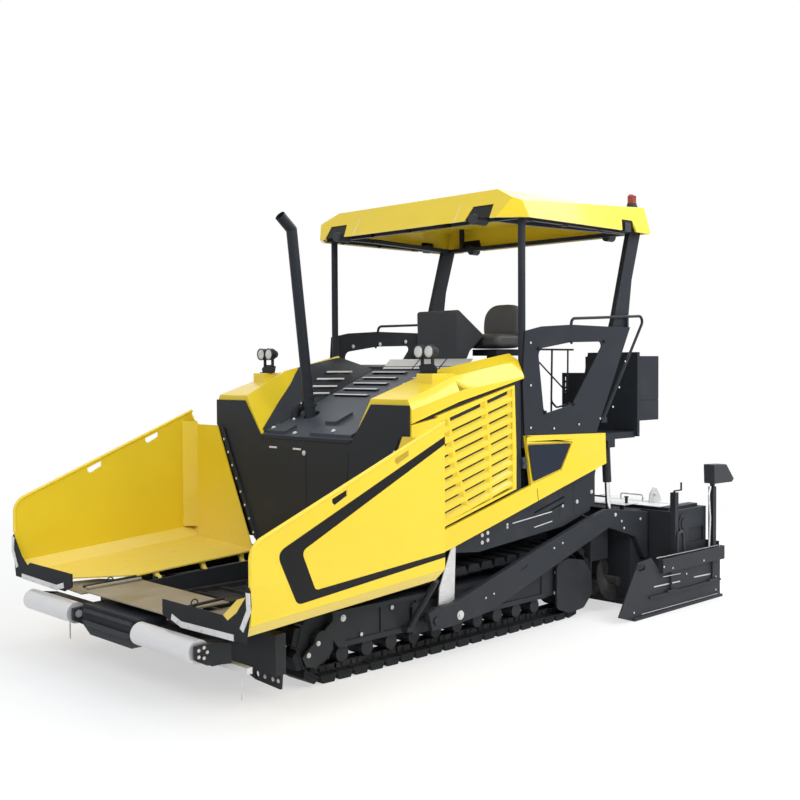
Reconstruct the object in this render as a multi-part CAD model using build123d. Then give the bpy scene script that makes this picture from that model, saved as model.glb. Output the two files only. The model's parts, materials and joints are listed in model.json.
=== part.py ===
"""Tracked asphalt paver with an open hopper, a canopy and a floating screed.

Millimetres, +Z up, ground at Z = 0.  The machine drives towards -Y, so the
hopper is at -Y and the screed at +Y.  +X is the operator's left.
"""
import os
from math import asin, cos, hypot, radians, sin

from build123d import *

os.makedirs("parts", exist_ok=True)

# ---------------------------------------------------------------- plates and seats
PLATE = 12.0                          # wall of the hopper and body plates
GAP = 0.3                             # seat clearance between neighbouring pieces
RUN = 8.0                             # running clearance beside moving pieces
PIN_R = 20.0

# ---------------------------------------------------------------- tracks
TRACK_OUT = 1140.0                    # outer face of a track
SHOE_WIDTH = 300.0
SHOE_PITCH = 160.0
SHOE_THICK = 62.0                     # pad and grouser together
CHAIN_THICK = 46.0                    # link height under the shoe
CHAIN_WIDTH = 150.0
IDLER_Y = -1900.0
SPROCKET_Y = 985.0
IDLER_R = 310.0                       # outside of the shoes round the idler
SPROCKET_R = 345.0
ROLLER_R = 60.0                       # bottom track rollers
ROLLER_COUNT = 10
ROLLER_W = 170.0
WHEEL_W = 90.0
BEAM_INSET = 30.0                     # track frame's side inside the shoes' edge
BEAM_LOW_Z = 226.0
BEAM_TOP_Z = 500.0
DRIVE_R = 170.0                       # drive drum of the sprocket
GUARD_STEP = 6.0                      # sprocket's cover outside the shoes
GUARD_THICK = 20.0

TRACK_IN = TRACK_OUT - SHOE_WIDTH
TRACK_MID = TRACK_OUT - SHOE_WIDTH / 2
BEAM_OUT = TRACK_OUT - BEAM_INSET
BEAM_IN = TRACK_IN + BEAM_INSET
WHEEL_INSET = SHOE_THICK + CHAIN_THICK + GAP

# ---------------------------------------------------------------- main frame
FRAME_HALF = 640.0                    # outer face of the main frame plates
FRAME_WALL = 30.0
FRAME_LOW_Z = 260.0
FLOOR_Z = 400.0                       # top of the conveyor floor
FLOOR_THICK = 30.0
TUNNEL_HIGH = 360.0                   # room over the conveyor floor
FRAME_TOP_Z = 1000.0
HOPPER_LENGTH = 1759.0
FRONT_WALL_Y = -1155.0
FRAME_REAR_Y = 1330.0
FRONT_BEAM = 60.0                     # depth of the frame's front beam
CROSS_Y = -2390.0                     # cross member in front of the tracks
CROSS_DEEP = 90.0
CROSS_OUT = 1190.0
EYE_R = 25.0                          # bore of a lashing eye
EYE_X = 915.0
EYE_Z = 118.0
EYE_PLATE = 20.0
CONVEYOR_GAP = 20.0                   # conveyor to the frame's wall

TUNNEL_TOP_Z = FLOOR_Z + TUNNEL_HIGH
TUNNEL_HALF = FRAME_HALF - FRAME_WALL
WING_REAR_Y = FRONT_WALL_Y - 13.0
WING_FRONT_Y = WING_REAR_Y - HOPPER_LENGTH
FRAME_FRONT_Y = WING_FRONT_Y + 367.0

# ---------------------------------------------------------------- body
SKIRT_STEP = 60.0                     # skirt outside the track
BODY_STEP = 65.0                      # side panel outside the skirt
SIDE_THICK = 30.0
FRONT_WALL_THICK = 20.0
EXHAUST_X = -375.0
EXHAUST_R = 48.0
EXHAUST_WALL = 4.0
EXHAUST_TOP_Z = 3590.0
DECK_Z = 1650.0                       # top of the operator's floor
DECK_THICK = 60.0
HOOD_FRONT_RISE = 383.0               # shoulder over the operator's floor, front
HOOD_REAR_RISE = 743.0                # the same at the crest's rear end
HOOD_REAR_Y = 205.0
SHOULDER_IN = 811.0
DOOR_FRONT_Y = -855.0
DOOR_REAR_Y = 80.0
DOOR_HINGE_R = 10.0
SLAT_COUNT = 10
SLAT_PITCH = 88.5
SLAT_SLOPE = 0.28                     # rise of the slats towards the rear
DOOR_TOP_SLOPE = 0.24
DIVIDERS = (                          # ribs of a door: shares of its length at the top, half way and the foot
    (0.143, 0.241, 0.412), (0.619, 0.671, 0.686), (0.985, 0.990, 0.985),
)
ENGINE_HALF = 420.0

SKIRT_HALF = TRACK_OUT + SKIRT_STEP
BODY_HALF = SKIRT_HALF + BODY_STEP
SIDE_IN = BODY_HALF - SIDE_THICK
INNER_HALF = SIDE_IN - GAP            # pieces that touch the side panels from inside
HOOD_FRONT_Y = FRONT_WALL_Y + FRONT_WALL_THICK + GAP
HOOD_FRONT_Z = DECK_Z + HOOD_FRONT_RISE
HOOD_REAR_Z = DECK_Z + HOOD_REAR_RISE
PANEL_TOP_Z = DECK_Z + 46.0           # top of the side panel beside the operator's floor
PANEL_FALL = 0.027

# ---------------------------------------------------------------- hopper
HOPPER_HALF = 1640.0                  # outside of an open wing
PIVOT_STEP = 28.0                     # hinge line outside the frame plate
PIVOT_Z = 560.0
HINGE_PIN_R = 12.0
HINGE_SHARES = (0.44, 0.70, 0.93)     # places along the hopper
WING_BEND_SHARE = 0.334               # where the floor's inner edge turns outwards
WING_INNER_RISE = 100.0               # floor's inner edge over the pivot at the rear
WING_INNER_SLOPE = 0.052
WING_CREASE_RISE = 240.0              # crease between wall and floor over the pivot
WING_CREASE_SLOPE = 0.070
WING_FOOT = 100.0                     # width of the slanting foot under the crease
WING_TIP_Z = 1166.0
WING_TOP_REAR_Z = 1880.0
WING_FRONT_EDGE = 1200.0              # floor's inner edge at the very front
RIM_R = 14.0
WING_CORNER_R = 140.0
SLOT_SHARES = (0.42, 0.75)            # hand slots along the top edge
SLOT_LONG = 135.0
SLOT_HIGH = 45.0
FLAP_THICK = 12.0

PIVOT_X = FRAME_HALF + PIVOT_STEP
WING_INNER_X = PIVOT_X + PLATE

# ---------------------------------------------------------------- push rollers
PUSH_STEP = 73.0                      # axis in front of the wings
PUSH_Z = 443.0
PUSH_R = 80.0
PUSH_IN = 452.0
PUSH_OUT = 1168.0
PUSH_SHAFT_R = 30.0
ARM_PLATE = 30.0
GUIDE_Z = 300.0                       # square bar that carries the steering pointers
GUIDE_SIDE = 44.0
GUIDE_OUT = 1350.0
POINTER_SPOTS = (1260.0, -1080.0)
POINTER_LONG = 190.0

PUSH_Y = WING_FRONT_Y - PUSH_STEP

# ---------------------------------------------------------------- screed and augers
TOW_Y = -885.0                        # axis of the tow points
TOW_Z = 310.0
TOW_R = 30.0
ARM_STEP = 10.0                       # tow arm outside the body
ARM_THICK = 50.0
AUGER_Y = 1600.0
AUGER_Z = 265.0
AUGER_R = 185.0
AUGER_LONG = 1190.0
AUGER_PITCH = 300.0
AUGER_SHAFT_R = 42.0
FLIGHT_THICK = 12.0
LIFT_SIDE = 35.0                      # cylinder's axis inside the tow arm
LIFT_TOP_Y = 1480.0
LIFT_TOP_DROP = 80.0                  # top pin under the operator's floor
LIFT_EYE_Y = 1530.0
LIFT_EYE_Z = 900.0
LIFT_BARREL = 370.0
LIFT_R = 40.0
LIFT_ROD_R = 25.0
SCREED_Y0 = 1830.0
SCREED_DEEP = 260.0
SCREED_TOP = 860.0
EXT_DEEP = 650.0
EXT_TOP = 890.0
EXT_STEP = 225.0                      # extension outside the tow arm at rest
EXT_LENGTH = 1195.0
GATE_STEP = 150.0                     # end gate outside the extension
GATE_BEAM_Z = 370.0
GATE_BEAM_HIGH = 130.0
GATE_BEAM_DEEP = 38.0
GATE_POST_TOP = 1078.0
WALKWAY_DEEP = 260.0
WALKWAY_Z = 400.0

LIFT_TOP_Z = DECK_Z - LIFT_TOP_DROP
ARM_OUT = BODY_HALF + ARM_STEP
ARM_IN = ARM_OUT - ARM_THICK
LIFT_X = ARM_IN - LIFT_SIDE
SCREED_Y1 = SCREED_Y0 + SCREED_DEEP
EXT_Y0 = SCREED_Y1 + GAP
EXT_Y1 = EXT_Y0 + EXT_DEEP
EXT_OUT = ARM_OUT + EXT_STEP          # outer face of an extension at rest
GATE_OUT = EXT_OUT + GATE_STEP        # outer face of an end gate
GATE_FACE = GATE_OUT - GATE_BEAM_DEEP

# ---------------------------------------------------------------- operator's station
CANOPY_HALF = 1330.0
CANOPY_FRONT_Y = 0.0
CANOPY_LONG = 2015.0
HEADROOM = 1875.0                     # operator's floor to the canopy's lower edge
CANOPY_RISE = 262.0
CANOPY_TOP_HALF = 1020.0
CANOPY_RAKE = 155.0                   # lean of the front panel
CANOPY_BROW_FRONT = 130.0             # height of the side panel at its front end
CANOPY_BROW_REAR = 255.0
CANOPY_SKIN = 20.0
CANOPY_CHAMFER = 200.0
POST_STEP = 12.0                      # post's axis inside the body's inner half
POST_R = 32.0
RAIL = 40.0                           # side of the canopy's square rails
LAMP_R = 46.0
LAMP_X = 880.0
CONSOLE_X = 165.0                     # middle of the console
CONSOLE_WIDE = 510.0
CONSOLE_Y = 300.0
CONSOLE_LONG = 350.0
CONSOLE_TOP = 1140.0                  # over the operator's floor
SEAT_X = 370.0
SEAT_WIDE = 480.0
SEAT_Y = 640.0
SEAT_Z = 790.0                        # cushion's underside over the operator's floor
CABINET_IN = 560.0
CABINET_OUT = 1200.0
CABINET_DEEP = 327.0

CANOPY_LOW_Z = DECK_Z + HEADROOM
CANOPY_TOP_Z = CANOPY_LOW_Z + CANOPY_RISE
CANOPY_REAR_Y = CANOPY_FRONT_Y + CANOPY_LONG
PLATFORM_Y0 = HOOD_REAR_Y + PLATE - 1.0
PLATFORM_Y1 = 1990.0
POST_X = INNER_HALF - POST_R
FRONT_POST_Y = PLATFORM_Y0 + POST_R + 2.0


# Cross-sections of a hood shoulder, as rises over the operator's floor
SHOULDER_SECTIONS = (
    # y, low, side, ridge x, ridge, crest x, crest, inner x, inner, foot x, foot
    (HOOD_FRONT_Y, 200, 305, BODY_HALF - 40, 383, SHOULDER_IN, HOOD_FRONT_RISE, SHOULDER_IN - 211, 50, SHOULDER_IN - 215, -10),
    (HOOD_FRONT_Y + 0.4 * (HOOD_REAR_Y - HOOD_FRONT_Y), 354, 440, BODY_HALF - 62, 556, SHOULDER_IN + 135, 597,
     SHOULDER_IN - 79, 274, SHOULDER_IN - 85.4, 204),
    (HOOD_REAR_Y, 530, 545, BODY_HALF - 65, 683, SHOULDER_IN + 289, HOOD_REAR_RISE, SHOULDER_IN + 119, 610,
     SHOULDER_IN + 109, 525),
)
LAMP_PAD_Z = DECK_Z + 579.0             # raised pad under a pair of headlamps


# ---------------------------------------------------------------- small helpers
def block(x0, x1, y0, y1, z0, z1):
    """Box between two corners."""
    centre = ((x0 + x1) / 2, (y0 + y1) / 2, (z0 + z1) / 2)
    return Pos(*centre) * Box(abs(x1 - x0), abs(y1 - y0), abs(z1 - z0))


def side_plate(x0, x1, outline, rounds=None):
    """Prism between two X planes; the outline is (y, z), and rounds gives radii by corner number."""
    face = make_face(Polyline(*[(x0, y, z) for y, z in outline], close=True))
    plate = extrude(face, amount=x1 - x0, dir=(1, 0, 0))
    for index, radius in (rounds or {}).items():
        y, z = outline[index]
        edge = min(plate.edges().filter_by(Axis.X), key=lambda one: (one.center() - Vector((x0 + x1) / 2, y, z)).length)
        plate = fillet(edge, radius)
    return plate


def cross_plate(y0, y1, outline):
    """Prism between two Y planes; the outline is (x, z)."""
    face = make_face(Polyline(*[(x, y0, z) for x, z in outline], close=True))
    return extrude(face, amount=y1 - y0, dir=(0, 1, 0))


def flat_plate(z0, z1, outline):
    """Prism between two Z planes; the outline is (x, y)."""
    face = make_face(Polyline(*[(x, y, z0) for x, y in outline], close=True))
    return extrude(face, amount=z1 - z0, dir=(0, 0, 1))


def rod(start, end, radius):
    """Round bar between two points."""
    start = Vector(*start)
    end = Vector(*end)
    way = end - start
    plane = Plane(origin=start, z_dir=way.normalized())
    return extrude(plane * Circle(radius), amount=way.length)


def cross_rod(x0, x1, y, z, radius):
    """Round bar along X."""
    return rod((x0, y, z), (x1, y, z), radius)


def bent_tube(points, bend, radius):
    """Tube along a path of straight runs with equal bends."""
    path = FilletPolyline(*points, radius=bend)
    start = Vector(*points[0])
    way = Vector(*points[1]) - start
    section = Plane(origin=start, z_dir=way.normalized()) * Circle(radius)
    return sweep(section, path=path)


def shear_loft(sections):
    """Ruled solid through closed polygons given as lists of 3-D points."""
    faces = [make_face(Polyline(*points, close=True)) for points in sections]
    return loft(faces, ruled=True)


def mirrored(shape):
    return mirror(shape, about=Plane.YZ)


def both(shape):
    """The shape and its mirror image across the centre plane."""
    return [shape, mirrored(shape)]


def both_ways(points):
    """Closed (x, z) outline from its +X half, listed upwards from the bottom."""
    return points + [(-x, z) for x, z in reversed(points)]


def joined(*shapes):
    """One shape; touching solids are fused, separate ones stay apart."""
    flat = [one for item in shapes for one in (item if isinstance(item, (list, tuple)) else [item])]
    whole = flat[0]
    for shape in flat[1:]:
        whole = whole + shape
    return whole


nodes = {}


def put(name, *shapes):
    nodes[name] = joined(*shapes)


def put_pair(name, *shapes):
    """A left-hand node and its mirrored right-hand one."""
    put("left_" + name, *shapes)
    nodes["right_" + name] = mirrored(nodes["left_" + name])


# ---------------------------------------------------------------- tracks
def track_path(inset):
    """Closed path round both wheels, inset from the outside of the shoes."""
    idler = IDLER_R - inset
    sprocket = SPROCKET_R - inset
    rise = asin((SPROCKET_R - IDLER_R) / hypot(SPROCKET_Y - IDLER_Y, SPROCKET_R - IDLER_R)) * 2
    front_top = (0, IDLER_Y - idler * sin(rise), IDLER_R + idler * cos(rise))
    rear_top = (0, SPROCKET_Y - sprocket * sin(rise), SPROCKET_R + sprocket * cos(rise))
    front = ThreePointArc(front_top, (0, IDLER_Y - idler, IDLER_R), (0, IDLER_Y, inset))
    bottom = Line((0, IDLER_Y, inset), (0, SPROCKET_Y, inset))
    rear = ThreePointArc((0, SPROCKET_Y, inset), (0, SPROCKET_Y + sprocket, SPROCKET_R), rear_top)
    upper = Line(rear_top, front_top)
    return Wire([front, bottom, rear, upper])


def track_outline():
    """Outline of the shoes as a toothed loop of (y, z)."""
    link = track_path(SHOE_THICK)
    count = round(link.length / SHOE_PITCH)
    middle = Vector(0, (IDLER_Y + SPROCKET_Y) / 2, IDLER_R)
    points = []
    for index in range(count):
        for share, rise in ((0.0, 0.35), (0.07, 1.0), (0.78, 1.0), (0.86, 0.35)):
            at = (index + share) / count
            spot = link.position_at(at)
            way = link.tangent_at(at)
            out = Vector(0, way.Z, -way.Y)
            if out.dot(spot - middle) < 0:
                out = out * -1
            spot = spot + out * (SHOE_THICK * rise)
            points.append((spot.Y, max(spot.Z, 0.0)))
    return points


def track_loop(half, outer_wire, inset):
    """Band between a wire and the path at an inset, centred on the track."""
    hole = make_face(track_path(inset))
    band = extrude(Pos(TRACK_MID - half, 0, 0) * (make_face(outer_wire) - hole), amount=2 * half, dir=(1, 0, 0))
    return band


def make_tracks():
    shoes = side_plate(TRACK_IN, TRACK_OUT, track_outline())
    inner = extrude(
        Pos(TRACK_IN - 5, 0, 0) * make_face(track_path(SHOE_THICK + 8)), amount=SHOE_WIDTH + 10, dir=(1, 0, 0)
    )
    chain = track_loop(CHAIN_WIDTH / 2, track_path(SHOE_THICK + 4), SHOE_THICK + CHAIN_THICK)
    put_pair("track", (shoes - inner) + chain)


def make_track_frames():
    front = IDLER_Y + 160
    rear = SPROCKET_Y - 290
    beam = side_plate(BEAM_IN, BEAM_OUT, [
        (front, BEAM_LOW_Z), (front - 60, BEAM_LOW_Z + 70), (front - 60, BEAM_TOP_Z),
        (rear, BEAM_TOP_Z), (rear, BEAM_LOW_Z),
    ])
    pocket = block(BEAM_OUT - 14, BEAM_OUT + 1, front + 60, rear - 60, BEAM_LOW_Z + 40, BEAM_TOP_Z - 40)
    ribs = [
        block(BEAM_OUT - 14, BEAM_OUT, y, y + 24, BEAM_LOW_Z + 30, BEAM_TOP_Z - 30)
        for y in (front + 420, front + 800, rear - 700)
    ]
    step = (rear - 120 - (front + 60)) / (ROLLER_COUNT - 1)
    wheels = []
    for index in range(ROLLER_COUNT):
        y = front + 60 + index * step
        z = WHEEL_INSET + ROLLER_R
        wheels.append(cross_rod(TRACK_MID - ROLLER_W / 2, TRACK_MID + ROLLER_W / 2, y, z, ROLLER_R))
        wheels.append(block(TRACK_MID - 60, TRACK_MID + 60, y - 26, y + 26, z, BEAM_LOW_Z))
    cover_x = TRACK_OUT + GUARD_STEP
    guard = side_plate(cover_x, cover_x + GUARD_THICK, [
        (SPROCKET_Y - 205, SPROCKET_R + 180), (SPROCKET_Y - 205, SPROCKET_R - 225), (SPROCKET_Y - 25, SPROCKET_R - 290),
        (SPROCKET_Y + 190, SPROCKET_R - 275), (SPROCKET_Y + 322, SPROCKET_R - 160), (SPROCKET_Y + 310, SPROCKET_R + 30),
        (SPROCKET_Y + 190, SPROCKET_R + 165), (SPROCKET_Y - 40, SPROCKET_R + 205),
    ], {index: 60 for index in range(8)})
    drive = cross_rod(TRACK_MID - 60, cover_x + 5, SPROCKET_Y, SPROCKET_R, DRIVE_R)
    half = WHEEL_W / 2
    idler = cross_rod(TRACK_MID - half, TRACK_MID + half, IDLER_Y, IDLER_R, IDLER_R - WHEEL_INSET)
    hub = cross_rod(BEAM_IN, BEAM_OUT, IDLER_Y, IDLER_R, 70)
    sprocket = cross_rod(TRACK_MID - half, TRACK_MID + half, SPROCKET_Y, SPROCKET_R, SPROCKET_R - WHEEL_INSET)
    axle = cross_rod(FRAME_HALF, TRACK_MID, SPROCKET_Y, SPROCKET_R, 120)
    yokes = [
        side_plate(x, x + 16, [
            (IDLER_Y + 100, BEAM_LOW_Z), (IDLER_Y + 100, BEAM_TOP_Z - 60), (IDLER_Y - 28, IDLER_R + 30),
            (IDLER_Y - 190, IDLER_R - 95), (IDLER_Y - 150, IDLER_R - 165), (IDLER_Y - 60, IDLER_R - 190),
        ])
        for x in (BEAM_IN, BEAM_OUT - 16)
    ]
    bracket = block(BEAM_IN + 20, BEAM_OUT, rear - 60, SPROCKET_Y, SPROCKET_R - 110, SPROCKET_R + 140)
    braces = [block(FRAME_HALF, BEAM_IN, y, y + 120, 320, 440) for y in (-1300, 300)]
    tow_plate = block(BEAM_OUT, BEAM_OUT + 16, TOW_Y - 110, TOW_Y + 340, BEAM_LOW_Z - 30, BEAM_TOP_Z - 60)
    tow_pin = cross_rod(BEAM_OUT - 10, ARM_OUT + 12, TOW_Y, TOW_Z, TOW_R)
    stay_y = HOOD_FRONT_Y + 80
    stay = [
        block(BEAM_OUT - 10, BEAM_OUT + 60, stay_y - 40, stay_y + 40, BEAM_LOW_Z + 10, BEAM_LOW_Z + 50),
        rod((BEAM_OUT + 30, stay_y, BEAM_LOW_Z + 30), (BEAM_OUT + 330, stay_y, PIVOT_Z + 110), 24),
    ]
    put_pair(
        "track_frame", stay, beam - pocket, ribs, guard, drive, axle, hub, yokes, bracket, braces, tow_plate, tow_pin,
        idler, sprocket, wheels,
    )


# ---------------------------------------------------------------- main frame
def make_main_frame():
    plates = both(side_plate(FRAME_HALF - FRAME_WALL, FRAME_HALF, [
        (FRAME_FRONT_Y, FRAME_LOW_Z + 70), (FRAME_FRONT_Y, PIVOT_Z - 60), (FRAME_FRONT_Y + 260, PIVOT_Z - 2),
        (HOOD_FRONT_Y, PIVOT_Z + 40), (HOOD_FRONT_Y, FRAME_TOP_Z), (FRAME_REAR_Y, FRAME_TOP_Z),
        (FRAME_REAR_Y, FRAME_LOW_Z), (FRAME_FRONT_Y + 260, FRAME_LOW_Z),
    ]))
    floor = block(-TUNNEL_HALF, TUNNEL_HALF, FRAME_FRONT_Y, FRAME_REAR_Y, FLOOR_Z - FLOOR_THICK, FLOOR_Z)
    roof = block(-TUNNEL_HALF, TUNNEL_HALF, HOOD_FRONT_Y, FRAME_REAR_Y, TUNNEL_TOP_Z, TUNNEL_TOP_Z + 20)
    nose = block(-FRAME_HALF, FRAME_HALF, FRAME_FRONT_Y - FRONT_BEAM, FRAME_FRONT_Y, 300, PIVOT_Z - 60)
    cross = both(block(FRAME_HALF, CROSS_OUT, CROSS_Y, CROSS_Y + CROSS_DEEP, EYE_Z + 45, PIVOT_Z - 110))
    lugs = []
    for share in HINGE_SHARES:
        y = WING_FRONT_Y + share * HOPPER_LENGTH
        for off in (-45, 25):
            lug = block(FRAME_HALF - 10, PIVOT_X + 18, y + off, y + off + 20, PIVOT_Z - 50, PIVOT_Z + 18)
            lugs += both(lug)
        lugs += both(rod((PIVOT_X, y - 45, PIVOT_Z), (PIVOT_X, y + 45, PIVOT_Z), HINGE_PIN_R))
    rear_y = FRAME_REAR_Y
    guard = cross_plate(rear_y - 5, rear_y + 12, both_ways([
        (FRAME_HALF + 20, 200), (ARM_IN - 90, 200), (ARM_IN - 90, FRAME_TOP_Z - 130), (FRAME_HALF + 10, FRAME_TOP_Z - 20),
    ]))
    chute = block(-TUNNEL_HALF, TUNNEL_HALF, rear_y - 20, rear_y + 40, 150, TUNNEL_TOP_Z)
    put("main_frame", plates, floor, roof, nose, cross, lugs, guard - chute)
    bulkhead_y = HOOD_FRONT_Y + 25
    bulkhead = block(-INNER_HALF, INNER_HALF, bulkhead_y, bulkhead_y + PLATE, TUNNEL_TOP_Z + 20 + GAP, DECK_Z - 10)
    opening = block(-FRAME_HALF - GAP, FRAME_HALF + GAP, bulkhead_y - 5, bulkhead_y + 20, TUNNEL_TOP_Z, FRAME_TOP_Z + GAP)
    back = SIDE_IN - GAP
    linings = both(side_plate(back - PLATE, back, [
        (bulkhead_y, FRAME_TOP_Z), (bulkhead_y, DECK_Z + 186), (HOOD_FRONT_Y + 0.4 * (HOOD_REAR_Y - HOOD_FRONT_Y), DECK_Z + 337),
        (DOOR_REAR_Y + 120, DECK_Z + 524), (DOOR_REAR_Y + 120, 1240),
    ]))
    put("engine_housing", bulkhead - opening, linings)


def make_lashing_plates():
    """Plates in front of the tracks with a bore for a lashing pin."""
    y = CROSS_Y + CROSS_DEEP / 2
    plate = cross_plate(y, y + EYE_PLATE, [
        (EYE_X - 95, EYE_Z + 44.7), (EYE_X - 95, EYE_Z - 20), (EYE_X - 20, EYE_Z - 42), (CROSS_OUT - 10, EYE_Z - 58),
        (CROSS_OUT, EYE_Z + 44.7),
    ])
    plate -= rod((EYE_X, y - 5, EYE_Z), (EYE_X, y + EYE_PLATE + 5, EYE_Z), EYE_R)
    put("lashing_plates", both(plate))


def make_conveyor():
    """Slat conveyor: ridges along the floor with bars between them."""
    half = TUNNEL_HALF - CONVEYOR_GAP
    y0 = FRAME_FRONT_Y + 80
    y1 = FRAME_REAR_Y - 20
    low = FLOOR_Z + GAP
    pieces = []
    for x0, x1 in ((-half, -half + 60), (-70, 70), (half - 60, half)):
        pieces.append(block(x0, x1, y0, y1, low, FLOOR_Z + 48))
    for x0, x1 in ((-half + 60, -70), (70, half - 60)):
        pieces.append(block(x0, x1, y0, y1, low, FLOOR_Z + 10))
        y = y0 + 60
        while y < y1 - 40:
            pieces.append(block(x0, x1, y, y + 34, FLOOR_Z + 10, FLOOR_Z + 34))
            y += 260
    put("conveyor", pieces)


def make_engine():
    low = TUNNEL_TOP_Z + 20 + GAP
    put("engine_block", block(-ENGINE_HALF, ENGINE_HALF, HOOD_FRONT_Y + 185, HOOD_REAR_Y - 5, low, DECK_Z - 50))


# ---------------------------------------------------------------- body
def make_front_wall():
    top = HOOD_FRONT_Z - 43
    edge = BODY_HALF - 15
    low = TUNNEL_TOP_Z + 10
    wall = cross_plate(FRONT_WALL_Y, FRONT_WALL_Y + FRONT_WALL_THICK, both_ways([
        (FRAME_HALF + 54, low), (edge, top - 222), (edge, top), (SHOULDER_IN + 19, top), (SHOULDER_IN - 201, DECK_Z + 50),
    ]))
    seals = both(cross_plate(FRONT_WALL_Y - 8, FRONT_WALL_Y, [
        (FRAME_HALF - 20, low), (FRAME_HALF + 20, low), (edge - 45, top - 222), (edge - 85, top - 222),
    ]))
    ledge = block(-SHOULDER_IN + 215, SHOULDER_IN - 215, FRONT_WALL_Y - 10, FRONT_WALL_Y, DECK_Z + 20, DECK_Z + 50)
    put("front_wall", wall, seals, ledge)


def make_hood():
    """Yellow shoulders and the dark sloping deck between them."""
    shoulder = shear_loft([
        [(BODY_HALF, y, DECK_Z + low), (BODY_HALF, y, DECK_Z + side), (ridge_x, y, DECK_Z + ridge),
         (crest_x, y, DECK_Z + crest), (inner_x, y, DECK_Z + inner), (foot_x, y, DECK_Z + foot)]
        for y, low, side, ridge_x, ridge, crest_x, crest, inner_x, inner, foot_x, foot in SHOULDER_SECTIONS
    ])
    pad_y = HOOD_FRONT_Y + 335
    pad = side_plate(SHOULDER_IN + 175, SHOULDER_IN + 349, [
        (pad_y, LAMP_PAD_Z - 130), (pad_y, LAMP_PAD_Z), (pad_y + 260, LAMP_PAD_Z), (pad_y + 260, LAMP_PAD_Z - 130),
    ], {1: 12})
    shoulder = shoulder + pad
    put_pair("hood_shoulder", shoulder)
    put("headlamps", both(joined(headlamp_pair())))
    half = SHOULDER_IN - 221
    front_z = DECK_Z + 50
    rear_z = HOOD_REAR_Z - 138
    slope = (rear_z - front_z) / (HOOD_REAR_Y - HOOD_FRONT_Y)
    deck = side_plate(-half, half, [
        (HOOD_FRONT_Y, front_z - 40), (HOOD_FRONT_Y, front_z), (HOOD_REAR_Y, rear_z), (HOOD_REAR_Y, rear_z - 40),
    ])
    lips = []
    for x0, x1, rows in ((-0.86, -0.12, 5), (0.26, 0.92, 5)):
        for row in range(rows):
            y = HOOD_REAR_Y - 110 - row * 120
            z = front_z + (y - HOOD_FRONT_Y) * slope
            deck = deck - block(half * x0, half * x1, y, y + 44, z - 80, z + 80)
            lips.append(side_plate(half * x0 - 10, half * x1 + 10, [
                (y + 44, z + 44 * slope - 14), (y + 44, z + 44 * slope + 6), (y + 20, z + 20 * slope + 16),
                (y + 14, z + 14 * slope + 12), (y + 36, z + 36 * slope),
            ]))
    for x0, x1, y0, y1 in ((-0.94, -0.50, 20, 150), (0.06, 0.94, 20, 150), (-0.02, 0.22, 230, 420)):
        lips.append(side_plate(half * x0, half * x1, [
            (HOOD_FRONT_Y + y0, front_z + y0 * slope - 5), (HOOD_FRONT_Y + y0, front_z + y0 * slope + 26),
            (HOOD_FRONT_Y + y1, front_z + y1 * slope + 26), (HOOD_FRONT_Y + y1, front_z + y1 * slope - 5),
        ]))
    y = FRONT_WALL_Y + 405
    hole = rod((EXHAUST_X, y, front_z - 100), (EXHAUST_X, y, front_z + 500), EXHAUST_R + 25)
    put("hood_deck", joined(deck, lips) - hole)


def headlamp_pair():
    """Two round lamps on a bracket that stands on the shoulder's pad."""
    y = HOOD_FRONT_Y + 372
    x = SHOULDER_IN + 219
    seat = LAMP_PAD_Z + GAP
    axis = seat + 174
    foot = cross_plate(y + 42, y + 54, [
        (x - 75, seat), (x - 95, seat + 62), (x - 40, seat + 76), (x + 60, seat + 76), (x + 105, seat + 40), (x + 95, seat),
    ])
    base = block(x - 75, x + 95, y + 10, y + 54, seat, seat + 8)
    lamps = []
    for off in (-57, 57):
        lamps.append(rod((x + off, y, axis), (x + off, y + 42, axis), 54))
        bowl = Plane(origin=(x + off, y + 42, axis), z_dir=(0, 1, 0)) * Cone(54, 30, 46, align=(Align.CENTER, Align.CENTER, Align.MIN))
        lamps.append(bowl)
        lamps.append(block(x + off - 10, x + off + 10, y + 34, y + 54, seat + 60, axis - 20))
    return [foot, base] + lamps


def slat(z, y0, y1):
    """One angled slat of a service door, at a height given at its front end."""
    out = BODY_HALF - 2
    back = SIDE_IN
    profile = ((out, 0), (out, 26), (back, 62), (back, 46))
    return shear_loft([
        [(x, y, z + up + (y - y0) * SLAT_SLOPE) for x, up in profile]
        for y in (y0, y1)
    ])


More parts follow.
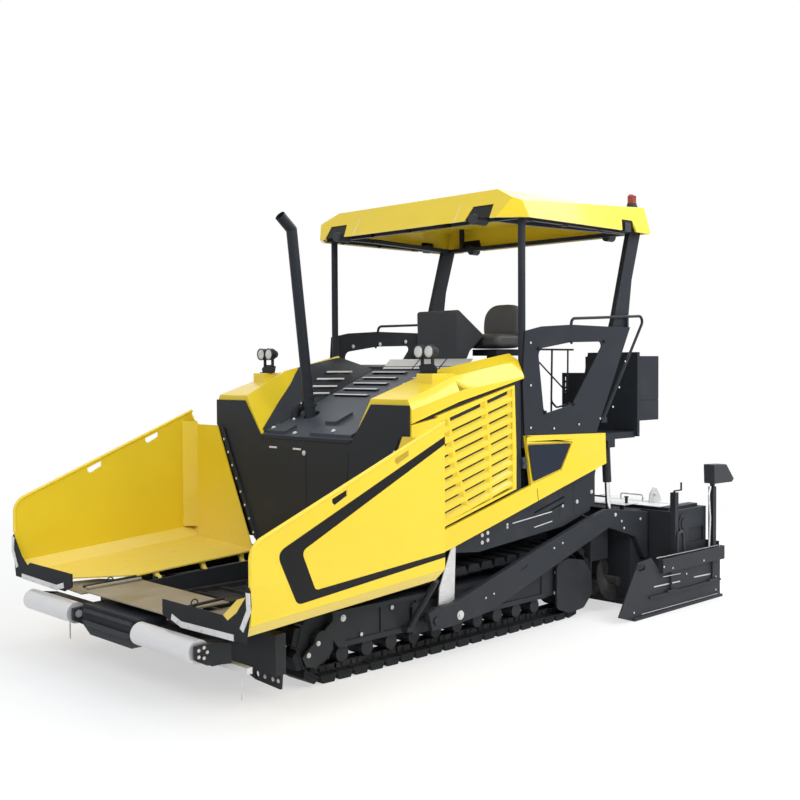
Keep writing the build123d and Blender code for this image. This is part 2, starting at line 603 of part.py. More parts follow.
def make_doors():
    """Louvred service doors in three columns."""
    low = DECK_Z - 640
    high = DECK_Z + 250
    length = DOOR_REAR_Y - DOOR_FRONT_Y
    door = side_plate(SIDE_IN, BODY_HALF, [
        (DOOR_FRONT_Y, low), (DOOR_FRONT_Y, high), (DOOR_REAR_Y, high + length * DOOR_TOP_SLOPE),
        (DOOR_REAR_Y + 22, low + 560), (DOOR_REAR_Y + 20, low + 245),
    ])
    y0 = DOOR_FRONT_Y + 40
    y1 = DOOR_REAR_Y - 30
    span = (y1 - y0) * SLAT_SLOPE
    field_low = low + 40
    field_high = high + (y1 - DOOR_FRONT_Y) * DOOR_TOP_SLOPE - 20 - span
    field = side_plate(SIDE_IN - 1, BODY_HALF + 1, [
        (y0, field_low), (y0, field_high), (y1, field_high + span), (y1, field_low + span - 30),
    ])
    pieces = [door - field]
    for index in range(SLAT_COUNT - 1):
        pieces.append(slat(field_high - 104 - index * SLAT_PITCH, y0 - 5, y1 + 5))
    for shares in DIVIDERS:
        levels = []
        for step, share in enumerate(shares):
            y = DOOR_FRONT_Y + share * length
            z_high = field_high + (y - y0) * SLAT_SLOPE + 5
            z_low = field_low + (y - y0) * SLAT_SLOPE - 35
            z = z_high + (z_low - z_high) * step / (len(shares) - 1)
            levels.append([
                (SIDE_IN, y - 48, z), (SIDE_IN, y + 14, z), (BODY_HALF - 5, y + 14, z), (BODY_HALF - 5, y - 12, z),
            ])
        pieces.append(shear_loft(levels))
    hinge_x = BODY_HALF + DOOR_HINGE_R + 2
    for z in (low + 160, high - 200):
        pieces.append(rod((hinge_x, DOOR_FRONT_Y, z), (hinge_x, DOOR_FRONT_Y, z + 70), DOOR_HINGE_R))
        pieces.append(block(BODY_HALF - 5, hinge_x, DOOR_FRONT_Y + 3, DOOR_FRONT_Y + 12, z + 5, z + 65))
    put_pair("service_door", pieces)


def make_sides():
    """Yellow bands, the dark backing behind the doors, and the skirts."""
    rear = PLATFORM_Y0 + 1174
    rear_top = PANEL_TOP_Z - (rear - 16 - HOOD_REAR_Y - 20) * PANEL_FALL
    band = side_plate(SIDE_IN, BODY_HALF, [
        (HOOD_FRONT_Y, 760), (-700, 849), (rear, 1386), (rear - 16, rear_top), (HOOD_REAR_Y + 20, PANEL_TOP_Z),
        (DOOR_REAR_Y + 220, 1271), (DOOR_FRONT_Y - GAP, DECK_Z - 665), (DOOR_FRONT_Y - GAP, DECK_Z + 235),
        (HOOD_FRONT_Y, DECK_Z + 190),
    ])
    badge = side_plate(BODY_HALF - 14, BODY_HALF + 1, [(239, 1627), (879, 1610), (717, 1368), (306, 1276)])
    rib = side_plate(BODY_HALF - 5, BODY_HALF + 8, [
        (HOOD_REAR_Y + 30, DECK_Z + 34), (900, DECK_Z + 10), (900, DECK_Z - 14), (HOOD_REAR_Y + 30, DECK_Z - 4),
    ])
    put_pair("side_panel", band - badge, rib)
    skirt = side_plate(SKIRT_HALF - 20, SKIRT_HALF, [
        (-620, 798), (-302, 767), (815, 857), (1226, 963), (1320, 1349), (-600, 860),
    ])
    slots = [
        side_plate(SKIRT_HALF - 21, SKIRT_HALF + 1, [(y, z), (y, z + 16), (y + run, z + 16 + run * 0.24), (y + run, z + run * 0.24)])
        for y, z, run in ((420, 1010, 420), (640, 1010, 200))
    ]
    for cut in slots:
        skirt = skirt - cut
    put("side_skirts", both(skirt))
    hanger = side_plate(SKIRT_HALF + GAP, SKIRT_HALF + PLATE, [
        (-640, 850), (-590, 850), (-610, 385), (-790, 390), (-780, 540),
    ])
    put("hanger_plates", both(hanger))


def make_platform():
    low = DECK_Z - DECK_THICK
    rear_half = SKIRT_HALF - 30
    floor = block(-INNER_HALF, INNER_HALF, PLATFORM_Y0, LIFT_TOP_Y - 100, low, DECK_Z)
    tail = block(-rear_half, rear_half, LIFT_TOP_Y - 100, PLATFORM_Y1, low, DECK_Z)
    ears = []
    for x in (LIFT_X - LIFT_R - 25, LIFT_X + LIFT_R + 7):
        ears += both(block(x, x + 18, LIFT_TOP_Y - 50, LIFT_TOP_Y + 60, LIFT_TOP_Z - 45, low + 5))
    root = both(block(LIFT_X - LIFT_R - 25, LIFT_X + LIFT_R + 25, LIFT_TOP_Y - 99, LIFT_TOP_Y + 60, low, DECK_Z))
    hole = cross_rod(-ARM_OUT, ARM_OUT, LIFT_TOP_Y, LIFT_TOP_Z, PIN_R + GAP)
    put("platform", joined(floor, tail, root, ears) - hole)
    narrow = SKIRT_HALF - 20 - GAP
    put("rear_tank", block(-narrow, narrow, PLATFORM_Y0 + 84, FRAME_REAR_Y, FRAME_TOP_Z + GAP, low - GAP))
    dash_low = DECK_Z + GAP
    dash = side_plate(-SHOULDER_IN - 30, SHOULDER_IN + 30, [
        (PLATFORM_Y0, dash_low), (PLATFORM_Y0, HOOD_REAR_Z - 110), (PLATFORM_Y0 + 60, HOOD_REAR_Z - 90),
        (PLATFORM_Y0 + 72, HOOD_REAR_Z - 100), (PLATFORM_Y0 + 72, dash_low),
    ])
    put("dash_panel", dash)


def make_cab_sides():
    """Dark side walls with a window, a hand rail and the foot of the rear post."""
    inner = INNER_HALF + 6
    z = DECK_Z
    wall = side_plate(inner, inner + PLATE, [
        (HOOD_REAR_Y + 21, PANEL_TOP_Z + GAP), (HOOD_REAR_Y - 2, z + 486), (238, z + 930), (460, z + 972), (876, z + 996), (1500, z + 990),
        (1789, z + 991), (1305, z + 126), (1250, PANEL_TOP_Z + GAP - (1250 - HOOD_REAR_Y - 20) * PANEL_FALL),
    ])
    window = side_plate(inner - 1, inner + PLATE + 1, [
        (405, z + 778), (863, z + 840), (1372, z + 852), (889, z + 289), (488, z + 219), (425, z + 650),
    ], {0: 70, 2: 35, 3: 60, 4: 60, 1: 600})
    x = inner + PLATE / 2
    rail = bent_tube([(x, 875, z + 970), (x, 892, z + 1051), (x, 2045, z + 1104), (x, 1350, z + 120)], 50, 13)
    tabs = [block(x - 6, x + 6, 1735, 1765, z + 975, z + 1090)]
    foot = block(x - 6, x + 6, 1330, 1420, z + 110, z + 160)
    put_pair("cab_side", wall - window, rail, tabs, foot)


def make_console():
    x0 = CONSOLE_X - CONSOLE_WIDE / 2
    x1 = CONSOLE_X + CONSOLE_WIDE / 2
    y0 = CONSOLE_Y
    y1 = CONSOLE_Y + CONSOLE_LONG
    top = DECK_Z + CONSOLE_TOP
    head = side_plate(x0, x1, [
        (y0, top - 440), (y0 - 12, top - 10), (y0 + 20, top + 6), (y1, top - 210), (y1 - 10, top - 245),
        (y0 + 170, top - 370), (y0 + 130, top - 440),
    ])
    column = side_plate(x0 + 30, x1 - 60, [
        (y0, DECK_Z + GAP), (y0, top - 430), (y0 + 130, top - 430), (y0 + 130, DECK_Z + GAP),
    ])
    put("console", head, column)


def make_seat():
    """Moulded seat: cushion, shell and pedestal as three solids."""
    x0 = SEAT_X - SEAT_WIDE / 2
    x1 = SEAT_X + SEAT_WIDE / 2
    y0 = SEAT_Y
    z = DECK_Z + SEAT_Z
    shell_low = side_plate(x0, x1, [
        (y0 + 20, z), (y0, z + 90), (y0 + 60, z + 100), (y0 + 330, z + 60), (y0 + 450, z + 100), (y0 + 440, z),
    ])
    back = cross_plate(y0 + 336, y0 + 444, [
        (x0 + 6, z + 40), (x0 + 6, z + 250), (x0 + 70, z + 400), (x0 + 140, z + 425), (x1 - 140, z + 425),
        (x1 - 70, z + 400), (x1 - 6, z + 250), (x1 - 6, z + 40),
    ])
    hollow = side_plate(x0 - 5, x1 + 5, [
        (y0 + 300, z + 110), (y0 + 300, z + 440), (y0 + 385, z + 440), (y0 + 350, z + 110),
    ])
    arms = [
        side_plate(x, x + 42, [
            (y0 + 60, z + 70), (y0 + 120, z + 190), (y0 + 300, z + 230), (y0 + 400, z + 330), (y0 + 434, z + 70),
        ])
        for x in (x0 + 3, x1 - 45)
    ]
    put("seat", shell_low, back - hollow, arms)
    base_low = DECK_Z + GAP
    base_top = z - GAP
    xm = SEAT_X
    put("seat_base", block(xm - 150, xm + 150, y0 + 80, y0 + 400, base_top - 60, base_top),
        block(xm - 60, xm + 60, y0 + 180, y0 + 300, base_low, base_top - 55))


def make_cabinet():
    low = DECK_Z - 50
    top = DECK_Z + 760
    y = PLATFORM_Y1 + GAP
    wall = cross_plate(y, y + 40, [
        (CABINET_IN - 260, low), (CABINET_IN - 260, top - 200), (CABINET_IN + 20, top - 200), (CABINET_IN + 60, top),
        (CABINET_OUT, top), (CABINET_OUT, low),
    ])
    for z in (360, 420, 480):
        wall -= block(CABINET_IN - 246, CABINET_IN - 212, y - 1, y + 41, DECK_Z + z, DECK_Z + z + 40)
    door_out = CABINET_OUT
    box = block(CABINET_IN, door_out, y + 40 + GAP, y + 40 + CABINET_DEEP, DECK_Z + 100, DECK_Z + 722)
    grooves = [
        block(door_out - 4, door_out + 1, y + 40, y + 60 + CABINET_DEEP, DECK_Z + z, DECK_Z + z + 8) for z in (290,)
    ]
    for cut in grooves:
        box = box - cut
    put("rear_box", wall, box)


# ---------------------------------------------------------------- canopy
def canopy_solid(inset):
    """Canopy cover filled in, drawn in by an inset; an inset one reaches below the edge."""
    low = CANOPY_LOW_Z - (5 if inset else 0)
    half = CANOPY_HALF - inset
    top = CANOPY_TOP_Z - inset
    top_half = CANOPY_TOP_HALF - inset / 2
    sections = []
    for y, brow in (
        (CANOPY_FRONT_Y - 60 + inset, CANOPY_BROW_FRONT), (CANOPY_REAR_Y - inset, CANOPY_BROW_REAR),
    ):
        brow_x = half - 0.3 * brow
        brow_z = CANOPY_LOW_Z + brow - inset
        points = [(half, low), (brow_x, brow_z), (top_half, top)]
        sections.append([(x, y, z) for x, z in both_ways(points)])
    body = shear_loft(sections)
    y = CANOPY_FRONT_Y + inset * 1.15
    rake = side_plate(-2 * CANOPY_HALF, 2 * CANOPY_HALF, [
        (y - 400, low - 10), (y, low - 10), (y, CANOPY_LOW_Z), (y + 1.4 * CANOPY_RAKE, CANOPY_LOW_Z + 1.4 * CANOPY_RISE),
        (y - 400, CANOPY_LOW_Z + 1.4 * CANOPY_RISE),
    ])
    body = body - rake
    reach = CANOPY_CHAMFER + 300
    for side in (-1, 1):
        corner = flat_plate(low - 20, top + 100, [
            (side * (half - CANOPY_CHAMFER), y), (side * (half - CANOPY_CHAMFER + reach), y + reach),
            (side * (half + reach), y - 400), (side * (half - CANOPY_CHAMFER), y - 400),
        ])
        body = body - corner
    return body


def lamp_holes():
    """Recesses in the front and rear panels and in the sides, over their lower edge."""
    cuts = []
    for side in (-1, 1):
        outline = [
            (side * (LAMP_X - 105), CANOPY_LOW_Z - 10), (side * (LAMP_X - 65), CANOPY_LOW_Z + 125),
            (side * (LAMP_X + 165), CANOPY_LOW_Z + 125), (side * (LAMP_X + 180), CANOPY_LOW_Z - 10),
        ]
        cuts.append(cross_plate(CANOPY_FRONT_Y - 20, CANOPY_FRONT_Y + 95, outline))
        cuts.append(cross_plate(CANOPY_REAR_Y - CANOPY_SKIN - 10, CANOPY_REAR_Y + 20, outline))
        y = CANOPY_REAR_Y - 350
        x0 = side * (CANOPY_HALF - 60)
        x1 = side * (CANOPY_HALF + 20)
        cuts.append(side_plate(min(x0, x1), max(x0, x1), [
            (y - 120, CANOPY_LOW_Z - 10), (y - 85, CANOPY_LOW_Z + 105), (y + 85, CANOPY_LOW_Z + 105),
            (y + 120, CANOPY_LOW_Z - 10),
        ]))
    return cuts


def make_canopy():
    roof = canopy_solid(0) - canopy_solid(CANOPY_SKIN)
    for cut in lamp_holes():
        roof = roof - cut
    put("canopy_roof", roof)
    low = CANOPY_LOW_Z
    front = CANOPY_FRONT_Y + 170
    rear = CANOPY_REAR_Y - 110
    inner = POST_X - 200
    pieces = []
    for side in (-1, 1):
        x = side * POST_X
        pieces.append(rod((x, FRONT_POST_Y, DECK_Z + GAP), (x, FRONT_POST_Y, low + 20), POST_R))
        pieces.append(side_plate(x - 25, x + 25, [
            (1110, DECK_Z + GAP), (1250, DECK_Z + 300), (1560, DECK_Z + 1050), (rear - 90, low + 20), (rear + 90, low + 20),
            (1849, DECK_Z + 1440), (1780, DECK_Z + 985), (1235, DECK_Z + GAP),
        ]))
        pieces.append(block(x - RAIL / 2, x + RAIL / 2, front, rear, low - 5, low - 5 + RAIL))
        pieces.append(flat_plate(low - 5, low - 5 + RAIL, [
            (side * (POST_X - 10), rear), (side * (POST_X - 60), rear), (side * (inner - 60), front + 380),
            (side * (inner - 10), front + 380),
        ]))
        pieces.append(block(side * inner - side * 10, side * inner - side * 50, front, front + 380, low - 5, low - 5 + RAIL))
    pieces.append(block(-POST_X, POST_X, front, front + RAIL, low - 5, low - 5 + RAIL))
    pieces.append(block(-POST_X, POST_X, rear - RAIL, rear, low - 5, low - 5 + RAIL))
    for side in (-1, 1):
        x = side * (inner - 30)
        for y in (front, rear - RAIL):
            pieces.append(block(x - 20, x + 20, y, y + RAIL, low, CANOPY_TOP_Z - CANOPY_SKIN - GAP))
    put("canopy_frame", pieces)
    lamps = []
    for side in (-1, 1):
        x = side * LAMP_X
        for start, way in ((CANOPY_FRONT_Y - 14, 1), (CANOPY_REAR_Y + 14, -1)):
            back = front - GAP if way == 1 else rear + GAP
            lamps.append(block(x - 30 * side, x + 100 * side, back - way * 24, back, low - 5, low + 60))
            lamps.append(rod((x, start, low + 8), (x, back - way * 20, low + 8), LAMP_R))
        x = side * (CANOPY_HALF - 70)
        y = CANOPY_REAR_Y - 350
        lamps.append(block(x, x + side * 52, y - 45, y + 45, low - 5, low + 80))
        lamps.append(block(side * (POST_X + RAIL / 2 + GAP), x, y - 15, y + 15, low, low + 30))
    beacon_x = CANOPY_TOP_HALF + 60
    beacon_y = CANOPY_REAR_Y + 55
    base = CANOPY_TOP_Z
    lamps.append(block(beacon_x - 40, beacon_x + 40, beacon_y - 150, beacon_y + 50, base + GAP, base + 10))
    lamps.append(rod((beacon_x, beacon_y, base + 5), (beacon_x, beacon_y, base + 30), 55))
    put("canopy_lamps", lamps)
    put("beacon", rod((beacon_x, beacon_y, base + 30 + GAP), (beacon_x, beacon_y, base + 153), 48))


def make_exhaust():
    x = EXHAUST_X
    y = FRONT_WALL_Y + 417
    base = DECK_Z - 50 + GAP
    knee = Vector(x, y - 224, EXHAUST_TOP_Z - 110)
    mouth = Vector(x, y - 350, EXHAUST_TOP_Z)
    foot = rod((x, y, base), (x, y, base + 60), EXHAUST_R + 12)
    pipe = joined(
        rod((x, y, base + 20), knee, EXHAUST_R), Pos(*knee) * Sphere(EXHAUST_R), rod(knee, mouth, EXHAUST_R)
    )
    pipe -= rod(knee, mouth + (mouth - knee), EXHAUST_R - EXHAUST_WALL)
    slope = (HOOD_REAR_Z - 138 - DECK_Z - 50) / (HOOD_REAR_Y - HOOD_FRONT_Y)
    deck = DECK_Z + 50 + (y - HOOD_FRONT_Y) * slope
    collars = [
        rod((x, y - 20 - up * 0.12, deck + up), (x, y - 20 - up * 0.12, deck + up + 26), EXHAUST_R + 9)
        for up in (70, 150)
    ]
    put("exhaust", pipe, foot, collars)


# ---------------------------------------------------------------- hopper
def wing_section(y):
    """Crease, foot and inner edge of a wing at one station, as (x, z)."""
    crease = PIVOT_Z + WING_CREASE_RISE + (y - WING_REAR_Y) * WING_CREASE_SLOPE
    inner = PIVOT_Z + WING_INNER_RISE + (y - WING_REAR_Y) * WING_INNER_SLOPE
    return [(HOPPER_HALF, crease), (HOPPER_HALF - WING_FOOT, crease - 95), (WING_INNER_X, inner)]


def wing_top(y):
    """Height of the wing's top edge at one station."""
    front = WING_FRONT_Y + 97
    share = (y - front) / (WING_REAR_Y - front)
    return WING_TIP_Z + 52 + (WING_TOP_REAR_Z - WING_TIP_Z - 52) * share


def make_wings():
    x1 = HOPPER_HALF
    x0 = x1 - PLATE
    rear = WING_REAR_Y
    crease_rear = wing_section(rear)[0][1]
    nose = wing_top(WING_FRONT_Y)
    outer = side_plate(x0, x1, [
        (WING_FRONT_Y, wing_section(WING_FRONT_Y)[0][1]), (WING_FRONT_Y, nose), (rear, WING_TOP_REAR_Z), (rear, crease_rear),
    ], {1: WING_CORNER_R})
    for share in SLOT_SHARES:
        y = WING_FRONT_Y + share * HOPPER_LENGTH
        cut = side_plate(x0 - 1, x1 + 1, [
            (y - SLOT_LONG / 2, wing_top(y - SLOT_LONG / 2) - 35), (y + SLOT_LONG / 2, wing_top(y + SLOT_LONG / 2) - 35),
            (y + SLOT_LONG / 2, wing_top(y + SLOT_LONG / 2) - 35 - SLOT_HIGH),
            (y - SLOT_LONG / 2 + 25, wing_top(y - SLOT_LONG / 2) - 35 - SLOT_HIGH),
            (y - SLOT_LONG / 2, wing_top(y - SLOT_LONG / 2) - 60),
        ])
        outer = outer - cut
    bend = WING_FRONT_Y + WING_BEND_SHARE * HOPPER_LENGTH
    skins = []
    for y_a, y_b, edge_a in ((WING_FRONT_Y, bend, WING_FRONT_EDGE), (bend, rear, WING_INNER_X)):
        ends = []
        for y, edge in ((y_a, edge_a), (y_b, WING_INNER_X)):
            (cx, cz), (fx, fz), (ix, iz) = wing_section(y)
            iz = fz + (iz - fz) * (fx - edge) / (fx - ix)
            ends.append([
                (cx, y, cz), (fx, y, fz), (edge, y, iz), (edge, y, iz + PLATE), (fx - 5, y, fz + PLATE), (cx - PLATE, y, cz),
            ])
        skins.append(shear_loft(ends))
    (cx, cz), (fx, fz), (ix, iz) = wing_section(rear)
    shelf = wing_top(rear) - 125
    back = cross_plate(rear - PLATE, rear, [
        (cx - 6, cz), (cx - 6, shelf + 110), (cx - 60, shelf + 40), (cx - 125, shelf), (cx - 430, shelf),
        (cx - 595, shelf - 350), (ix + 8, iz + 10), (fx - 6, fz + 10),
    ])
    corner = flat_plate(cz, shelf + 30, [
        (x0 + 2, rear - 115), (x0 - 10, rear - 115), (x0 - 100, rear - PLATE + 2), (x0 - 80, rear - PLATE + 2),
    ])
    rim = bent_tube([
        (x0 + 6, WING_FRONT_Y + 3, PIVOT_Z + 360), (x0 + 6, WING_FRONT_Y + 3, nose - 3),
        (x0 + 6, rear, WING_TOP_REAR_Z - 3),
    ], WING_CORNER_R - 3, RIM_R)
    knuckles = []
    for share in HINGE_SHARES:
        y = WING_FRONT_Y + share * HOPPER_LENGTH
        top = wing_section(y)[2][1] + 2
        lug = cross_plate(y - 20, y + 20, [
            (PIVOT_X - 6, PIVOT_Z + 14), (PIVOT_X + 26, min(PIVOT_Z + 52, top - 8)), (PIVOT_X + 26, top), (PIVOT_X + 70, top),
            (PIVOT_X + 24, PIVOT_Z),
        ]) + rod((PIVOT_X, y - 20, PIVOT_Z), (PIVOT_X, y + 20, PIVOT_Z), HINGE_PIN_R + 10)
        knuckles.append(lug - rod((PIVOT_X, y - 30, PIVOT_Z), (PIVOT_X, y + 30, PIVOT_Z), HINGE_PIN_R + GAP))
    put_pair("hopper_wing", outer, skins, back, corner, rim, knuckles)
    z = PIVOT_Z
    front = WING_FRONT_Y - GAP
    put_pair("wing_flap", cross_plate(front - FLAP_THICK, front, [
        (FRAME_HALF, z + 142), (HOPPER_HALF - 300, z + 142), (HOPPER_HALF - 245, z + 112), (HOPPER_HALF - 140, z + 182),
        (HOPPER_HALF, z + 345), (HOPPER_HALF + 8, z + 240), (HOPPER_HALF - 45, z), (FRAME_HALF + 120, z - 8),
        (FRAME_HALF, z + 40),
    ]))


def make_front():
    """Crossbar, push rollers, the centre bumper, the guide bar and the apron."""
    bar_y = PUSH_Y + 100
    arm_in = PUSH_IN - RUN - ARM_PLATE
    arm_out = PUSH_OUT + RUN
    beam = block(-arm_out, arm_out, bar_y, bar_y + 130, PUSH_Z - 113, PUSH_Z + 22)
    bore = cross_rod(-arm_out - 60, arm_out + 60, PUSH_Y, PUSH_Z, PUSH_SHAFT_R + GAP)
    arms = []
    for x in (arm_in, arm_out):
        arms += both(side_plate(x, x + ARM_PLATE, [
            (PUSH_Y - 45, PUSH_Z - 45), (PUSH_Y - 45, PUSH_Z + 45), (PUSH_Y + 60, PUSH_Z + 50), (bar_y + 130, PUSH_Z + 22),
            (bar_y + 130, PUSH_Z - 113), (PUSH_Y + 40, PUSH_Z - 90),
        ]))
    half = arm_in
    bumper = cross_plate(PUSH_Y + 25, FRAME_FRONT_Y - FRONT_BEAM - GAP, both_ways([
        (half - 120, PUSH_Z - 143), (half - 10, PUSH_Z - 80), (half, PUSH_Z + 40), (half - 30, PUSH_Z + 78),
    ]))
    guide_y = bar_y + 150
    low = GUIDE_Z - GUIDE_SIDE / 2
    bumper -= block(-half, half, guide_y - 12, guide_y + 200, low - 40, low + GUIDE_SIDE + 12)
    brow = cross_plate(PUSH_Y - 10, PUSH_Y + 30, both_ways([
        (half - 140, PUSH_Z - 70), (half - 60, PUSH_Z - 40), (half - 60, PUSH_Z + 30), (half - 80, PUSH_Z + 50),
    ]))
    put("roller_beam", joined(beam, arms, bumper, brow) - bore)
    shaft = cross_rod(PUSH_IN - RUN - ARM_PLATE + 5, PUSH_OUT + RUN + ARM_PLATE - 4, PUSH_Y, PUSH_Z, PUSH_SHAFT_R)
    put_pair("push_roller", cross_rod(PUSH_IN, PUSH_OUT, PUSH_Y, PUSH_Z, PUSH_R), shaft)
    guide = block(POINTER_SPOTS[1] - 40, GUIDE_OUT, guide_y, guide_y + GUIDE_SIDE, low, low + GUIDE_SIDE)
    hangers = both(block(620, 660, guide_y - 6, guide_y + GUIDE_SIDE, low + GUIDE_SIDE - 4, PUSH_Z - 113 + 60))
    straps = both(block(620, 660, bar_y + 130 + GAP, guide_y + 10, PUSH_Z - 80, PUSH_Z - 113 + 60))
    pointers = [
        rod((x, guide_y + GUIDE_SIDE / 2, low - POINTER_LONG), (x, guide_y + GUIDE_SIDE / 2, low + 5), 6)
        for x in POINTER_SPOTS
    ]
    put("guide_bar", guide, hangers, straps, pointers)
    z = PIVOT_Z + 14
    edge = FRAME_HALF - 40
    y1 = FRAME_FRONT_Y + 210
    apron = block(-edge, edge, WING_FRONT_Y + 30, y1, z, z + 10)
    leg = block(-edge, edge, FRAME_FRONT_Y - 30, FRAME_FRONT_Y - 20, PIVOT_Z - 60 + GAP, z + 5)
    bar = rod((-edge + 60, WING_FRONT_Y + 60, z + 22), (-edge + 20, y1 - 20, z + 22), 16)
    put("front_apron", apron, leg, bar)


# ---------------------------------------------------------------- screed
def make_screed():
    hole = cross_rod(ARM_IN - 5, ARM_OUT + 5, TOW_Y, TOW_Z, TOW_R + GAP)
    front = TOW_Y
    arm = side_plate(ARM_IN, ARM_OUT, [
        (front - 84, TOW_Z + 70), (front - 40, TOW_Z - 73), (-700, 237), (-238, 282), (1423, 790), (SCREED_Y0 + 25, 656),
        (SCREED_Y1 - 96, 444), (SCREED_Y1 - 34, 436), (SCREED_Y1 - 34, SCREED_TOP + 20), (1390, 963), (1169, 920), (430, 730),
        (-691, 413), (front + 11, TOW_Z + 100),
    ])
    slot = side_plate(ARM_OUT - 8, ARM_OUT + 1, [(150, 560), (230, 585), (230, 605), (150, 580)])
    put_pair("tow_arm", arm - hole - slot)
    profile = [
        (SCREED_Y0 - 20, 0), (SCREED_Y1, 0), (SCREED_Y1, SCREED_TOP), (SCREED_Y0 + 60, SCREED_TOP),
        (SCREED_Y0, SCREED_TOP - 80), (SCREED_Y0, 90), (SCREED_Y0 - 20, 60),
    ]
    inner = ARM_IN
    covers = [
        block(x0 * inner, x1 * inner, SCREED_Y0 + 80, SCREED_Y1 - 12, SCREED_TOP - 5, SCREED_TOP + 30)
        for x0, x1 in ((-0.97, -0.52), (-0.46, -0.04), (0.04, 0.46), (0.52, 0.97))
    ]
    hooks = [
        block(x * inner - 12, x * inner + 12, SCREED_Y0 + 66, SCREED_Y0 + 96, SCREED_TOP - 5, SCREED_TOP + 85)
        for x in (-0.88, -0.49, 0.49, 0.88)
    ]
    put("screed_body", side_plate(-inner, inner, profile), covers, hooks)
    make_extensions()


def make_extensions():
    inner = EXT_OUT - EXT_LENGTH
    body = block(inner, EXT_OUT, EXT_Y0, EXT_Y1, 60, EXT_TOP)
    sole = block(inner, EXT_OUT, EXT_Y0, EXT_Y1 + 40, 0, 65)
    recess = block(EXT_OUT - 18, EXT_OUT + 1, EXT_Y0 + 330, EXT_Y1 - 50, 560, 700)
    flange = cross_rod(EXT_OUT - 10, EXT_OUT + 22, EXT_Y0 + 215, SCREED_TOP - 100, 92)
    cap = cross_rod(EXT_OUT + 20, EXT_OUT + 30, EXT_Y0 + 215, SCREED_TOP - 100, 58)
    cover = block(inner + 40, EXT_OUT - 60, EXT_Y0 + 60, EXT_Y1 - 60, EXT_TOP - 5, EXT_TOP + 28)
    walkway = block(inner, EXT_OUT, EXT_Y1 - 5, EXT_Y1 + WALKWAY_DEEP, WALKWAY_Z, WALKWAY_Z + 30)
    toe = block(inner, EXT_OUT, EXT_Y1 + WALKWAY_DEEP - 12, EXT_Y1 + WALKWAY_DEEP, WALKWAY_Z + 25, WALKWAY_Z + 110)
    struts = [
        side_plate(x, x + 12, [
            (EXT_Y1 - 5, WALKWAY_Z - 180), (EXT_Y1 - 5, WALKWAY_Z + 5), (EXT_Y1 + WALKWAY_DEEP - 20, WALKWAY_Z + 5),
        ])
        for x in (inner + 60, EXT_OUT - 72)
    ]
    post_x = EXT_OUT + 8
    posts = []
    for y in (EXT_Y0 - 15, EXT_Y1 + 30):
        posts.append(block(post_x, post_x + 56, y, y + 58, GATE_BEAM_Z, GATE_POST_TOP))
        posts.append(block(post_x + 50, GATE_OUT - 12 - GAP, y + 8, y + 50, GATE_BEAM_Z + 30, GATE_BEAM_Z + 110))
    ties = [
        block(EXT_OUT - 5, post_x + 2, EXT_Y0 + 5, EXT_Y0 + 40, GATE_BEAM_Z + 60, GATE_BEAM_Z + 200),
        block(EXT_OUT - 5, post_x + 2, EXT_Y1 + 35, EXT_Y1 + 80, WALKWAY_Z, WALKWAY_Z + 60),
    ]
    crank_y = EXT_Y0 + 14
    crank_x = post_x + 28
    crank = [
        rod((crank_x, crank_y, GATE_POST_TOP - 10), (crank_x, crank_y, GATE_POST_TOP + 18), 10),
        rod((crank_x, crank_y - 4, GATE_POST_TOP + 14), (crank_x, crank_y + 124, GATE_POST_TOP + 14), 7),
        rod((crank_x, crank_y + 120, GATE_POST_TOP + 8), (crank_x, crank_y + 120, GATE_POST_TOP + 86), 9),
    ]
    put_pair(
        "screed_extension", body - recess, sole, flange, cap, cover, walkway, toe, struts, posts, ties, crank,
    )
    make_end_gates()
    box_x = post_x + 4
    low = GATE_POST_TOP + GAP
    y = EXT_Y1 + 30
    put_pair("control_box", block(box_x + 6, box_x + 46, y + 8, y + 48, low, low + 40), side_plate(box_x - 30, box_x + 90, [
        (y - 40, low + 35), (y - 50, low + 225), (y + 190, low + 215), (y + 340, low + 60), (y + 300, low + 30),
    ]))


def make_end_gates():
    plate_in = GATE_FACE - PLATE
    low = 0.0
    top = GATE_BEAM_Z + 155
    y1 = EXT_Y1 + 80
    gate = side_plate(plate_in, GATE_FACE, [
        (1083, 60), (1289, low), (y1, low), (y1, GATE_BEAM_Z), (1760, GATE_BEAM_Z), (1599, top), (1385, top - 20), (1209, 249),
    ])
    grip = side_plate(plate_in - 1, GATE_FACE + 1, [
        (1385, 440), (1400, 475), (1490, 478), (1500, 455), (1490, 430), (1400, 425),
    ])
    beam_y0 = 1734
    beam = block(plate_in, GATE_OUT, beam_y0, y1 + 20, GATE_BEAM_Z, GATE_BEAM_Z + GATE_BEAM_HIGH)
    beam -= block(plate_in - 1, GATE_OUT - 12, beam_y0 + 12, y1 + 8, GATE_BEAM_Z + 12, GATE_BEAM_Z + GATE_BEAM_HIGH + 1)
    rail = block(GATE_FACE - 2, GATE_FACE + 22, 1550, y1 - 20, 160, 178)
    sole = side_plate(GATE_FACE - 2, GATE_FACE + 30, [(1289, 0), (y1, 0), (y1, 22), (1289, 22)])
    springs = [cross_spring(y, 176, GATE_BEAM_Z + 4) for y in (beam_y0 + 170, y1 - 170)]
    feet = [
        block(GATE_FACE - 2, GATE_FACE + 30, y - 75, y + 75, 176, 196) for y in (beam_y0 + 170, y1 - 170)
    ]
    put_pair("end_gate", gate - grip, beam, rail, sole, springs, feet)


def cross_spring(y, z0, z1):
    """Spring rod between the rail and the beam of an end gate."""
    x = GATE_FACE + 15
    return rod((x, y, z0), (x, y, z1), 11)


